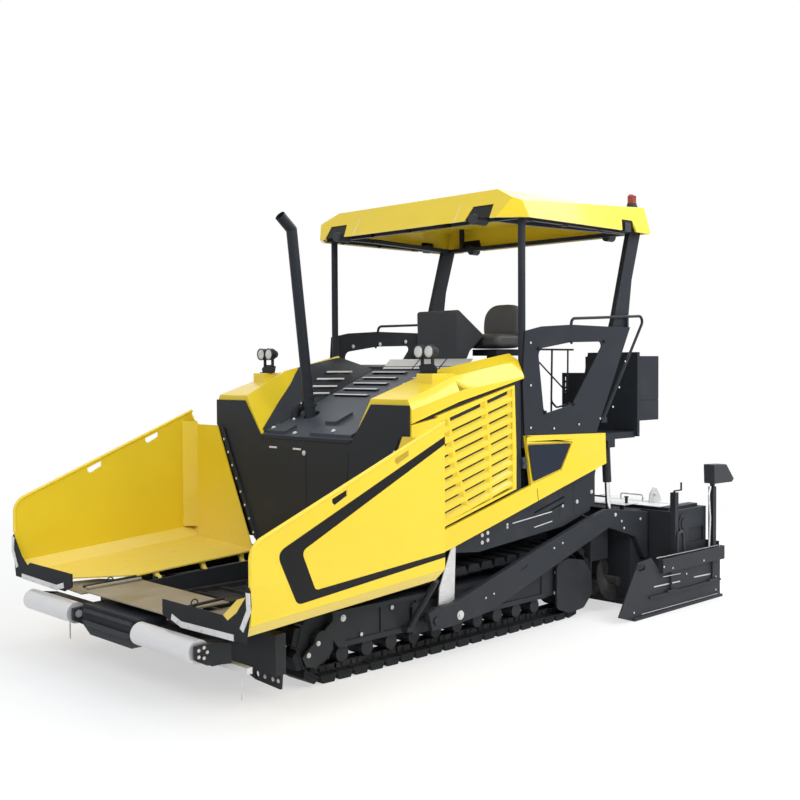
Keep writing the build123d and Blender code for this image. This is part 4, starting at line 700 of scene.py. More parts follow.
# ---------------------------------------------------------------- settings
class PaverSettings(bpy.types.PropertyGroup):
    """Sizes and colours of the finish"""

    body_colour: bpy.props.FloatVectorProperty(
        name="Body Colour", description="Colour of the painted panels", subtype="COLOR", size=3, min=0, max=1,
        default=(0.85, 0.63, 0.03),
    )
    frame_colour: bpy.props.FloatVectorProperty(
        name="Frame Colour", description="Colour of the frame and the running gear", subtype="COLOR", size=3,
        min=0, max=1, default=(0.021, 0.025, 0.032),
    )
    edge_width: bpy.props.FloatProperty(
        name="Edge Width", description="Width of the broken edges on plates", subtype="DISTANCE",
        unit="LENGTH", default=0.003, min=0.0005, max=0.01,
    )
    key_power: bpy.props.FloatProperty(
        name="Key Light", description="Power of the main softbox", unit="POWER", default=560.0, min=0.0,
    )


class Step:
    """What the dressing steps share: each builds its pieces and reports that it is done."""

    def execute(self, context):
        self.build(context.scene)
        return {"FINISHED"}


class PAVER_OT_finishes(Step, bpy.types.Operator):
    """Make every finish and give each CAD node its own"""

    bl_idname = "paver.finishes"
    bl_label = "Finishes"

    def build(self, scene):
        build_materials(scene.paver)
        for node, piece in NODES.items():
            if not piece.data.materials:
                piece.data.materials.append(None)
            for index in range(len(piece.data.materials)):
                piece.data.materials[index] = finish_of(node)


class PAVER_OT_stage(Step, bpy.types.Operator):
    """Lay the floor, hang the lights and place the camera"""

    bl_idname = "paver.stage"
    bl_label = "Stage"

    def build(self, scene):
        self.floor()
        self.world(scene)
        self.lights(scene.paver.key_power)
        self.camera(scene)
        scene.view_settings.view_transform = "Standard"

    def floor(self):
        reach, level = 60.0, -0.002
        mesh = bpy.data.meshes.new("floor")
        corners = ((-1, -1), (1, -1), (1, 1), (-1, 1))
        mesh.from_pydata([(x * reach, y * reach, level) for x, y in corners], [], [(0, 1, 2, 3)])
        look = Finish("studio_floor")
        x, y, _ = look.axes()
        far = (x * x + y * y).calc("SQRT").above(7.0, 3.0)
        look.set(Base_Color=(0.93, 0.93, 0.93), Roughness=0.85, Specular_IOR_Level=0.15)
        glow = look.node("ShaderNodeEmission", Strength=1.0)
        mix = look.node("ShaderNodeMixShader", (far * 0.45 + 0.55) * self.seen_directly(look.tree))
        look.feed(mix.inputs[1], look.shader.outputs[0])
        look.feed(mix.inputs[2], glow.outputs[0])
        look.feed(look.out.inputs[0], mix.outputs[0])
        mesh.materials.append(look.material)
        added("floor", mesh)

    def seen_directly(self, tree):
        """1 for rays from the camera, and for those that metal or glass sends on."""
        path = tree.nodes.new("ShaderNodeLightPath")
        seen = Term(tree, path.outputs["Is Camera Ray"])
        for name in ("Is Glossy Ray", "Is Transmission Ray"):
            seen = seen.most(Term(tree, path.outputs[name]))
        return seen

    def world(self, scene):
        """White to the camera, and a pale room that brightens overhead for everything else."""
        scene.world = bpy.data.worlds.new("studio")
        scene.world.use_nodes = True
        tree = scene.world.node_tree
        tree.nodes.clear()
        new, link = tree.nodes.new, tree.links.new
        out, mix = new("ShaderNodeOutputWorld"), new("ShaderNodeMixShader")
        where, split = new("ShaderNodeTexCoord"), new("ShaderNodeSeparateXYZ")
        link(where.outputs["Generated"], split.inputs[0])
        strength = Term(tree, split.outputs[2]).most(0.0).calc("POWER", 1.3) * 0.55 + 0.18
        link(self.seen_directly(tree).socket, mix.inputs[0])
        for index, colour in ((1, (0.92, 0.95, 1.0, 1)), (2, (1, 1, 1, 1))):
            sky = new("ShaderNodeBackground")
            sky.inputs[0].default_value = colour
            if index == 1:
                link(strength.socket, sky.inputs[1])
            link(sky.outputs[0], mix.inputs[index])
        link(mix.outputs[0], out.inputs[0])

    def lights(self, key_power):
        """Softboxes; each row is a name, a place, an aim, two sizes and a share of the key's power."""
        for name, place, aim, size, share in (
            ("key", (2.0, -9.0, 7.5), (0, -0.5, 1.2), (6.0, 4.0), 0.55),
            ("side", (10.0, 0.0, 6.5), (0.5, 0.2, 1.2), (8.0, 4.0), 0.9),
            ("edge", (6.3, 5.9, 7.8), (1.2, -0.3, 2.0), (4.5, 3.0), 0.45),
            ("top", (0.0, 0.5, 10.0), (0, 0.2, 0), (7.0, 7.0), 0.2),
            ("sheen", (0.2, 5.8, 8.6), (0.3, -0.3, 1.8), (6.5, 4.5), 0.78),
            ("rear", (-8.0, 6.0, 7.0), (0, 0, 1.5), (5.0, 3.0), 0.3),
        ):
            lamp = bpy.data.lights.new(name, "AREA")
            lamp.shape = "RECTANGLE"
            lamp.size, lamp.size_y = size
            lamp.energy = key_power * share
            turn = (Vector(aim) - Vector(place)).to_track_quat("-Z", "Y").to_matrix().to_4x4()
            added(name, lamp).matrix_world = Matrix.Translation(place) @ turn

    def camera(self, scene):
        yaw, pitch, roll = (math.radians(value) for value in (45.664, 1.825, -0.3035))
        level = math.cos(pitch)
        forward = Vector((-math.sin(yaw) * level, math.cos(yaw) * level, -math.sin(pitch)))
        right = Vector((math.cos(yaw), math.sin(yaw), 0))
        up = right.cross(forward)
        across = right * math.cos(roll) + up * math.sin(roll)
        upward = up * math.cos(roll) - right * math.sin(roll)
        view = bpy.data.cameras.new("camera")
        view.sensor_width = 36.0
        view.lens = 49.58145
        view.clip_end = 200.0
        turn = Matrix((across, upward, -forward)).transposed().to_4x4()
        scene.camera = added("camera", view)
        scene.camera.matrix_world = Matrix.Translation((7.1617, -7.0178, 2.2986)) @ turn


# ---------------------------------------------------------------- dressing steps
class PAVER_OT_plates(Step, bpy.types.Operator):
    """Break the edges of the plates and castings"""

    bl_idname = "paver.plates"
    bl_label = "Plates"

    def build(self, scene):
        widths = {
            "hood_shoulder": 0.012, "canopy_roof": 0.01, "console": 0.018, "side_panel": 0.005,
            "rear_box": 0.006, "roller_beam": 0.006, "service_door": 0.0015, "hopper_wing": 0.002,
            "control_box": 0.008, "conveyor": 0.002, "guide_bar": 0.002, "end_gate": 0.002,
        }
        untouched = (
            "track", "auger", "exhaust", "beacon", "push_roller", "lift_rod", "lift_barrel", "seat",
            "headlamps", "canopy_lamps",
        )
        for node in NODES:
            kind = node.removeprefix("left_").removeprefix("right_")
            if kind not in untouched:
                dressed(node, widths.get(kind, scene.paver.edge_width))


class PAVER_OT_tracks(Step, bpy.types.Operator):
    """Lay the shoes and links round both tracks"""

    bl_idname = "paver.tracks"
    bl_label = "Tracks"

    def build(self, scene):
        count, shoe_inset, link_inset = 46, 0.062, 0.085
        for side, _ in SIDES:
            low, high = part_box(side + "_track")
            for name, inset, template, finish in (
                ("_track_shoes", shoe_inset, self.shoe(high.x - low.x), "rubber"),
                ("_track_links", link_inset, self.link(), "track"),
            ):
                piece = run_of_links(side + name, self.path(low, high, inset), count, template, finish)
            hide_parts(side + "_track")

    def path(self, low, high, inset):
        """Closed run round the idler in front and the sprocket behind, inside the track's box."""
        idler, sprocket, steps = 0.31, 0.345, 24
        middle = (low.x + high.x) / 2
        points = []
        for radius, y, first in ((idler, low.y + idler, 90), (sprocket, high.y - sprocket, -90)):
            for step in range(steps + 1):
                turn = math.radians(first + 180 * step / steps)
                reach = radius - inset
                points.append((middle, y + reach * math.cos(turn), radius + reach * math.sin(turn)))
        return points

    def bar(self, outline, width, middle=0.0):
        """A bar across the track; its outline is seen from the side, with Z towards the wheels."""
        return slab_parts(outline, (middle - width / 2, 0, 0), -ALONG, -UP, width)

    def shoe(self, width):
        """Pad with chamfered ends on a steel shoe."""
        pad = ((-0.071, 0.012), (-0.071, 0.03), (-0.058, 0.06), (0.052, 0.06), (0.066, 0.03), (0.066, 0.012))
        plate = ((-0.077, 0.0), (-0.077, 0.012), (0.06, 0.012), (0.07, 0.02), (0.078, 0.02), (0.078, 0.0))
        return plain_mesh("shoe", *joined([self.bar(pad, width - 0.012), self.bar(plate, width)]))

    def link(self):
        """Two link plates and the bushing between them."""
        end, top, shoulder, foot = 0.088, 0.024, 0.018, -0.02
        plate = ((-end, foot), (-end, shoulder), (-0.05, top), (0.05, top), (end, shoulder), (end, foot))
        parts = [self.bar(plate, 0.018, middle) for middle in (-0.053, 0.053)]
        parts.append(round_parts((-0.07, 0, 0), (0.07, 0, 0), 0.019, 12))
        return plain_mesh("link", *joined(parts))


class PAVER_OT_hopper(Step, bpy.types.Operator):
    """Stripe, clamp strips and bolts of the hopper"""

    bl_idname = "paver.hopper"
    bl_label = "Hopper"

    def build(self, scene):
        wall_x, film, rear_gap = 1.6401, 0.0008, 0.003
        for side, sign in SIDES:
            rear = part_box(side + "_hopper_wing")[1].y - rear_gap
            stripe = [
                (rear, 1.776), (-2.725, 1.108), (-2.558, 0.752), (rear, 0.888),
                (rear, 0.924), (-2.404, 0.826), (-2.519, 1.095), (rear, 1.718),
            ]
            outline = rounded(stripe, (0, 0.075, 0.06, 0, 0, 0.04, 0.05, 0), 8)
            plate = side_plate(outline, wall_x, film)
            group(side + "_wing_stripe", [plate], "black", side + "_wing", flip=sign < 0)
            self.strips(side, sign)

    def strips(self, side, sign):
        """Zinc clamp strips with their bolts along the foot of the rubber flap."""
        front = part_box(side + "_wing_flap")[0].y
        half, thick, pitch, first_share = 0.021, 0.006, 0.15, 0.6
        parts, spots = [], []
        for line in (
            [(0.762, 0.6), (0.878, 0.566), (1.475, 0.578)],
            [(1.628, 0.885), (1.634, 0.77), (1.56, 0.64)],
        ):
            line = [Vector(point) for point in line]
            upper, lower = [], []
            for index, here in enumerate(line):
                way = (line[min(index + 1, 2)] - line[max(index - 1, 0)]).normalized()
                beside = Vector((-way.y, way.x)) * half
                upper.append(here + beside)
                lower.append(here - beside)
            parts.append(front_plate(upper + lower[::-1], front, thick))
            for start, end in zip(line, line[1:]):
                number = max(1, round((end - start).length / pitch))
                for step in range(number):
                    at = start + (end - start) * ((step + first_share) / number)
                    spots.append(((sign * at.x, front - thick, at.y), -ALONG, 0.9))
        group(side + "_flap_strips", parts, "zinc", side + "_wing", flip=sign < 0, edge=0.001)
        bolts(side + "_flap_bolts", spots, side + "_wing")


class PAVER_OT_hood(Step, bpy.types.Operator):
    """Front wall covers, deck side plates in painted shade, louvres in painted shade and highlight, pale rear
    plates as a painted reflection, and the exhaust's elbow
    """

    bl_idname = "paver.hood"
    bl_label = "Hood"

    crest_break = -0.4  # y where the side plates' crest changes its slope
    deck_foot, deck_top = 1.7, 2.255

    def build(self, scene):
        low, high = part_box("hood_deck")
        self.front, self.rear = low.y, high.y
        self.covers()
        self.deck_sides()
        self.deck_lips()
        self.elbow()

    def covers(self):
        """Two bolted covers on the front wall, a hair apart, and the wings' sealing strips before it."""
        wall_thick = 0.02
        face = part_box("front_wall")[1].y - wall_thick
        left = [(-0.551, 1.594), (-0.49, 0.985), (0.031, 0.985), (0.031, 1.59)]
        right = [(0.038, 1.59), (0.038, 0.985), (0.52, 0.985), (0.57, 1.594)]
        covers = [front_plate(cover, face, 0.003) for cover in (left, right)]
        group("front_wall_covers", covers, "dark", edge=0.001)
        hinges = [box_parts((x, face - 0.0065, 1.586), (x + 0.105, face, 1.602)) for x in (-0.46, -0.135)]
        group("front_wall_hinges", hinges, "zinc", edge=0.002)
        bolts("front_wall_bolts", [((0.01, face - 0.003, 1.566), -ALONG, 1.3)])
        clear_of_seal = face - 0.01
        strip = [(1.165, 1.735), (0.64, 0.74), (0.615, 0.74), (1.12, 1.735)]
        count = 8
        for side, sign in SIDES:
            spots = []
            for step in range(count):
                share = (step + 0.5) / count
                at = (sign * (1.145 - 0.49 * share), clear_of_seal - 0.0075, 1.69 - 0.92 * share)
                spots.append((at, -ALONG, 0.7))
            bolts(side + "_wall_bolts", spots, side + "_wing")
            plate = front_plate(strip, clear_of_seal, 0.007)
            group(side + "_wall_strip", [plate], "dark", side + "_wing", flip=sign < 0, edge=0.001)

    def deck_z(self, y):
        return self.deck_foot + (y - self.front) * (self.deck_top - self.deck_foot) / (self.rear - self.front)

    def on_side(self, share, y):
        """Point of a side plate over y, at a share of the way out from the deck to its crest."""
        edge, clearance = 0.592, 0.004
        if y > self.crest_break:
            along = (y - self.crest_break) / (self.rear - self.crest_break)
            crest_x, crest_z = 0.976 + 0.11 * along, 2.28 + 0.094 * along
        else:
            along = (y - self.front) / (self.crest_break - self.front)
            crest_x, crest_z = 0.604 + 0.372 * along, 1.72 + 0.56 * along
        low = self.deck_z(y)
        return edge + (crest_x - edge) * share, low + (crest_z - low) * share + clearance

    def level_on_side(self, share, level):
        """Point of a side plate at a share of the way out and at a height, found by halving."""
        front, rear = self.front, self.rear
        for _ in range(24):
            y = (front + rear) / 2
            if self.on_side(share, y)[1] > level:
                rear = y
            else:
                front = y
        x, z = self.on_side(share, y)
        return x, y, z

    def deck_sides(self):
        """Plates that close the deck against the shoulders' crests, with their level louvres; the plates'
        dark paint is painted shade for the inner wall there, which lies in shadow.
        """
        rows = (self.front + 0.03, -0.9, -0.65, self.crest_break, -0.2, 0.0, self.rear)
        thick, louvre = 0.006, 0.32
        for side, sign in SIDES:
            verts = []
            for y in rows:
                for share in (0.0, 1.0):
                    x, z = self.on_side(share, y)
                    verts.append(Vector((sign * x, y, z)))
            count = len(verts)
            verts += [v - UP * thick for v in verts]
            faces = []
            for a in range(0, count - 2, 2):
                faces += [(a, a + 1, a + 3, a + 2), (count + a + 2, count + a + 3, count + a + 1, count + a)]
                faces += [(a, a + 2, count + a + 2, count + a), (a + 3, a + 1, count + a + 1, count + a + 3)]
            faces += [(1, 0, count, count + 1), (count - 2, count - 1, 2 * count - 1, 2 * count - 2)]
            # painted shade: dark plates stand for the inner wall under the crest, which lies in shadow
            linked(side + "_deck_side", plain_mesh("deck_side", verts, faces, 30), MATERIALS["dark"], "root")
            # louvres: the black slots are painted shade inside the openings, and the zinc lips above them are
            # painted highlight on their lit edges
            slot_shades, lip_highlights = [], []
            for first, level in ((0.25, 2.22), (0.17, 2.155), (0.08, 2.088), (0.02, 2.025)):
                ends = [self.level_on_side(share, level) for share in (first, first + louvre)]
                slot_shades.append(self.strip(sign, ends, -0.026, 0.014, 0.004))
                lip_highlights.append(self.strip(sign, ends, 0.014, 0.026, 0.014))
            group(side + "_deck_slots", slot_shades, "black")
            group(side + "_deck_lips", lip_highlights, "zinc")

    def strip(self, sign, ends, y0, y1, top):
        """A level bar across a side plate from one end point to another, following its slope."""
        foot, slope = 0.002, 0.41
        verts = [
            (sign * x, y + back, z + up + back * slope)
            for x, y, z in ends
            for back, up in ((y0, foot), (y1, foot), (y1, top), (y0, top))
        ]
        return verts, ring_faces(2, 4)

    def deck_lips(self):
        """Pale zinc lips over the louvres as painted highlight, pale rear plates as a painted reflection of
        the white sky on a glossy dark panel, and the deck's bolts.
        """
        # painted highlight: pale zinc lips where the louvres' edges catch the light
        lip_highlights = []
        louvres, first_back, pitch = 5, 0.11, 0.12
        for x0, x1 in ((-0.515, -0.065), (0.15, 0.55)):
            for row in range(louvres):
                y = self.rear - first_back - row * pitch
                z = self.deck_z(y)
                corners = ((0.012, 0.019), (0.02, 0.027), (0.044, 0.0275), (0.044, 0.022))
                lip_highlights.append(side_plate([(y + back, z + up) for back, up in corners], x0, x1 - x0))
        group("deck_louvre_lips", lip_highlights, "zinc")
        # painted reflection: pale zinc plates stand for the white sky mirrored in a glossy dark panel
        cover = [(0.2, 2.262), (0.206, 2.27), (0.3, 2.352), (0.306, 2.344)]
        covers = [side_plate(cover, x0, x1 - x0) for x0, x1 in ((-0.46, -0.07), (-0.05, 0.27), (0.29, 0.6))]
        group("deck_rear_covers", covers, "zinc", edge=0.001)
        spots = []
        for x, back, lift in (
            (-0.52, 0.07, 0.028), (-0.2, 0.05, 0.002), (0.28, 0.07, 0.028), (0.54, 0.15, 0.028),
        ):
            y = self.front + back
            spots.append(((x, y, self.deck_z(y) + lift), (0, -0.38, 0.92), 1.2))
        bolts("deck_bolts", spots)

    def elbow(self):
        """Bent bypass pipe, clamps and bolts at the exhaust's foot."""
        pipe_back = 0.405
        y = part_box("front_wall")[0].y + pipe_back
        foot_x = -0.535
        bends = [
            (-0.375, y, 1.945), (-0.5, y - 0.02, 1.94), (foot_x, y - 0.04, 1.88), (foot_x, y - 0.05, 1.72),
        ]
        group("exhaust_elbow", [tube_parts(bends, 0.04, 0.05, 16)], "dark")
        clamps = [
            round_parts((foot_x, y - 0.047, 1.8), (foot_x, y - 0.047, 1.835), 0.049, 20),
            round_parts((-0.432, y - 0.009, 1.942), (-0.462, y - 0.014, 1.942), 0.049, 20),
        ]
        group("exhaust_clamps", clamps, "track", edge=0.002)
        bolts("exhaust_bolts", [
            ((-0.445, y - 0.05, 1.958), (0, -1, 0), 0.9),
            ((-0.5, y - 0.09, 1.82), (0.3, -1, 0), 0.9),
            ((-0.56, y - 0.08, 1.82), (-0.3, -1, 0), 0.8),
        ])


class PAVER_OT_lamps(Step, bpy.types.Operator):
    """Glass and rims of the work lamps, and the beacon"""

    bl_idname = "paver.lamps"
    bl_label = "Lamps"

    sides = 28

    def build(self, scene):
        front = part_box("headlamps")[0].y
        radius = 0.054
        centres = [(sign * x, front, 2.403) for sign in (1, -1) for x in (0.973, 1.087)]
        # each profile's rows: share of the lamp's radius, distance out of its face
        glass = ((0.86, 0.0), (0.86, 0.003), (0.7, 0.008), (0.45, 0.011), (0.15, 0.0125))
        rim = ((1.0, -0.004), (1.03, 0.0), (1.03, 0.007), (0.96, 0.01), (0.88, 0.004), (0.87, 0.001))
        for name, finish, profile in (("headlamp_glass", "clear", glass), ("headlamp_rims", "plastic", rim)):
            rows = [(share * radius, out) for share, out in profile]
            group(name, [spun_parts(centre, -ALONG, rows, self.sides) for centre in centres], finish)
        self.beacon()

    def beacon(self):
        """Dark foot and a red lens with ribs; heights run up from the foot."""
        low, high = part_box("beacon")
        radius, tall = (high.x - low.x) / 2, high.z - low.z
        foot_top, ribs = 0.03, 7
        pitch = (tall - 0.022 - foot_top) / ribs
        foot = [(1.0, 0.0), (1.0, 0.02), (0.9, 0.024), (0.9, foot_top)]
        groove, crown, rise = 0.86, 0.9, pitch * ribs * 0.02
        lens_rows = [(groove, foot_top)]
        for rib in range(ribs):
            base = foot_top + pitch * rib
            lens_rows += [(crown, base + rise), (crown, base + pitch * 0.7), (groove, base + pitch * 0.85)]
        lens_rows += [(0.8, tall - 0.018), (0.55, tall - 0.006), (0.2, tall)]
        centre = ((low.x + high.x) / 2, (low.y + high.y) / 2, low.z)
        for name, finish, profile in (("beacon_foot", "plastic", foot), ("beacon_form", "red", lens_rows)):
            rows = [(share * radius, height) for share, height in profile]
            piece = group(name, [spun_parts(centre, UP, rows, self.sides, ACROSS)], finish)
        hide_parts("beacon")


class PAVER_OT_sides(Step, bpy.types.Operator):
    """Insert, seams and latch of the side panels"""

    bl_idname = "paver.sides"
    bl_label = "Sides"

    def build(self, scene):
        panel_x = 1.2655
        insert = rounded([(0.262, 1.615), (0.856, 1.598), (0.708, 1.382), (0.33, 1.3)], 0.012, 4)
        seam = [(0.372, 1.238), (0.378, 1.239), (0.397, 1.128), (0.391, 1.128)]
        latch = [(0.196, 1.515), (0.246, 1.512), (0.258, 1.415), (0.205, 1.418)]
        knob = round_parts((1.255, 0.215, 1.468), (1.266, 0.215, 1.468), 0.01, 12)
        for side, sign in SIDES:
            for name, parts, finish, edge in (
                ("_badge_insert", [side_plate(insert, panel_x - 0.006, 0.004)], "navy", 0.001),
                ("_band_seam", [side_plate(seam, panel_x - 0.001, 0.0014)], "black", 0.0),
                ("_panel_latch", [side_plate(latch, 1.225, 0.03), knob], "deck", 0.002),
            ):
                group(side + name, parts, finish, flip=sign < 0, edge=edge)


class PAVER_OT_canopy(Step, bpy.types.Operator):
    """Lamp recesses in painted shade, seams and clips of the canopy"""

    bl_idname = "paver.canopy"
    bl_label = "Canopy"

    def build(self, scene):
        roof = "canopy_roof"
        foot_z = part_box(roof)[0].z
        plain_x = 0.655  # beside the lamp notches, where the skirt is whole
        recess_in, recess_out, sunk = 0.75, 1.085, 0.012
        pans, seams, clips = [], [], []
        for start, way in ((-1.0, ALONG), (4.0, -ALONG)):
            foot = face_of(roof, (plain_x, start, foot_z + 0.006), way) + way * sunk
            top = face_of(roof, (plain_x, start, foot_z + 0.145), way) + way * sunk
            up = top - foot
            wide = recess_out - recess_in
            outline = [(0, 0), (wide, 0), (wide, up.length), (0, up.length)]
            pans.append(slab_parts(outline, (recess_in, foot.y, foot.z), ACROSS, up.normalized(), 0.004))
        pans.append(box_parts((1.29, 1.545, foot_z + 0.004), (1.296, 1.785, foot_z + 0.112)))
        for _, sign in SIDES:
            ends = [face_of(roof, (sign * plain_x, -1.0, foot_z + rise), ALONG) for rise in (0.165, 0.01)]
            seams.append(tube_parts(ends, 0.0022, 0.001, 6))
        for y in (0.35, 0.85, 1.35):
            clip = box_parts((1.15, y, foot_z - 0.012), (1.215, y + 0.03, foot_z + 0.03))
            clips += [clip, flipped_x(clip)]
        for x in (-0.6, -0.1, 0.4):
            clips.append(box_parts((x, 0.14, foot_z - 0.012), (x + 0.06, 0.17, foot_z + 0.03)))
        # painted shade: black pans in the front and rear lamp recesses; the pan on each side skirt near the
        # rear stands for a small rectangular lamp
        group("canopy_recesses", pans + [flipped_x(pan) for pan in pans], "black")
        group("canopy_seams", seams, "zinc")
        group("canopy_clips", clips, "black", edge=0.002)


class PAVER_OT_apron(Step, bpy.types.Operator):
    """Side plates, tube and ring of the front apron, and the push rollers' end discs"""

    bl_idname = "paver.apron"
    bl_label = "Apron"

    def build(self, scene):
        outline = [(0.598, -2.33), (0.598, -2.88), (0.9, -2.86), (1.11, -2.7), (1.06, -2.48), (0.88, -2.33)]
        plate = slab_parts(outline, (0, 0, 0.541), ACROSS, ALONG, 0.006)
        axle_y, axle_z, disc = -3.0, 0.443, 0.007
        beside_hole = 0.035
        tubes, discs, spots = [], [], []
        for _, sign in SIDES:
            hinge_x = sign * 0.602
            tubes.append(tube_parts([(hinge_x, -2.4, 0.618), (hinge_x, -2.86, 0.6)], 0.011, 0.01, 12))
            ring = circle(Vector((sign * 0.585, -2.64, 0.618)), ALONG, UP, 0.028, 12)
            tubes.append(tube_parts(ring, 0.005, 0.004, 8, closed=True))
            x = face_of("roller_beam", (sign * 1.6, axle_y + beside_hole, axle_z), (-sign, 0, 0)).x
            outer = Vector((x + sign * disc, axle_y, axle_z))
            discs.append(round_parts((x, axle_y, axle_z), outer, 0.052, 28))
            spots += [(at, (sign, 0, 0), 0.7) for at in circle(outer, ALONG, UP, 0.036, 5)]
        group("apron_sides", [plate, flipped_x(plate)], "plate")
        group("apron_tubes", tubes, "dark")
        group("roller_discs", discs, "track", edge=0.001)
        bolts("roller_disc_bolts", spots)


class PAVER_OT_seat(Step, bpy.types.Operator):
    """Cushion and backrest of the operator's seat, with piped seams"""

    bl_idname = "paver.seat"
    bl_label = "Seat"

    def build(self, scene):
        low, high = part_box("seat")
        middle, half = (low.x + high.x) / 2, (high.x - low.x) / 2
        cushion = self.pad("seat_cushion", (middle, low.y + 0.205, low.z + 0.075), (half - 0.012, 0.2, 0.07))
        rest_at = (middle, high.y - 0.085, low.z + 0.258)
        back = self.pad("seat_back", rest_at, (half - 0.02, 0.062, 0.165), lean=0.1, taper=0.3)
        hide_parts("seat")
        self.piping(cushion)

    def pad(self, name, centre, half, lean=0.0, taper=0.0):
        """Crowned pad whose sides pull in; lean tips its top back and taper narrows it."""
        rings, sides = 26, 56
        box_share, round_share, dome_share = 0.45, 0.3, 0.6
        side_pull, channel_depth = 0.035, 0.006
        centre = Vector(centre)
        wide, deep, tall = half
        upright = tall >= deep * 1.5

        def power(value, n):
            return math.copysign(abs(value) ** n, value)

        verts = []
        for ring in range(1, rings):
            rise_turn = -math.pi / 2 + math.pi * ring / rings
            level = power(math.cos(rise_turn), box_share)
            for step in range(sides):
                turn = 2 * math.pi * step / sides
                x = wide * level * power(math.cos(turn), round_share)
                y = deep * level * power(math.sin(turn), round_share)
                z = tall * power(math.sin(rise_turn), dome_share)
                pull = 1 - side_pull * math.cos(2 * turn) ** 2 * (1 - abs(z) / tall)
                narrow = 1 - taper * max(0.0, z / tall) ** 2
                channel = channel_depth * math.exp(-((x / (0.45 * wide)) ** 2 - 1) ** 2 * 30)
                rise = z - (channel if not upright and z > 0 else 0)
                out = y + (channel if upright and y < 0 else 0)
                verts.append(centre + Vector((x * pull * narrow, out * pull + lean * z, rise)))
        foot, top = len(verts), len(verts) + 1
        crown = Vector((0, lean * tall, tall))
        verts += [centre - crown, centre + crown]
        faces = ring_faces(rings - 1, sides)[:-2]
        last = foot - sides
        faces += [((i + 1) % sides, i, foot) for i in range(sides)]
        faces += [(last + i, last + (i + 1) % sides, top) for i in range(sides)]
        return linked(name, plain_mesh(name, verts, faces, 60), MATERIALS["leather"], "root")

    def piping(self, cushion):
        """A cord round the cushion's seam."""
        corners = [v.co for v in cushion.data.vertices]
        inset, lift = 0.008, 0.03
        x0, y0 = (min(v[i] for v in corners) + inset for i in (0, 1))
        x1, y1 = (max(v[i] for v in corners) - inset for i in (0, 1))
        z = (min(v.z for v in corners) + max(v.z for v in corners)) / 2 + lift
        line = [(x0, y0, z), (x1, y0, z), (x1, y1, z), (x0, y1, z)]
        group("seat_piping", [tube_parts(line, 0.004, 0.05, 8, 6, closed=True)], "leather")


class PAVER_OT_cab(Step, bpy.types.Operator):
    """Knobs, rods and bolts of the cab sides"""

    bl_idname = "paver.cab"
    bl_label = "Cab"

    def build(self, scene):
        inner_x, outer_x = (corner.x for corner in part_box("left_cab_side"))
        knob_places = ((0.411, 2.43), (0.863, 2.488), (1.36, 2.502), (0.901, 1.943), (0.495, 1.885))
        outer_places = (
            (0.3, 1.76, 0.6), (0.62, 1.74, 0.6), (0.98, 1.76, 0.6), (1.3, 1.8, 0.6), (1.5, 1.9, 0.6),
            (0.3, 2.12, 0.6), (0.3, 2.48, 0.6), (1.7, 2.32, 0.6), (1.6, 2.08, 0.6),
        )
        inner_places = ((0.522, 2.489, 1.2), (0.898, 2.515, 1.2), (1.273, 2.546, 1.2))
        knobs = []
        for _, sign in SIDES:
            for y, z in knob_places:
                face, tip = (sign * outer_x, y, z), (sign * (outer_x + 0.01), y, z)
                knobs.append(round_parts(face, tip, 0.017, 16, 0.013))
        group("cab_knobs", knobs, "black", edge=0.002)
        bolts("cab_bolts", side_spots(outer_x, outer_places) + side_spots(inner_x, inner_places, way=-1))
        rod_x, rods = 1.0, []
        for radius, bend, line in (
            (0.009, 0.05, ((0.925, 2.43), (0.914, 1.96), (0.99, 1.905), (1.192, 1.932))),
            (0.007, 0.01, ((0.709, 2.336), (1.155, 2.032))),
            (0.008, 0.01, ((1.16, 2.43), (1.155, 1.95), (1.155, 1.66))),
            (0.009, 0.01, ((0.914, 1.96), (0.914, 1.655))),
            (0.009, 0.01, ((0.7, 2.43), (1.24, 2.43))),
            (0.009, 0.01, ((0.709, 2.436), (0.709, 1.655))),
        ):
            rods.append(tube_parts([(rod_x, y, z) for y, z in line], radius, bend, 10))
        group("cab_rods", rods, "dark")


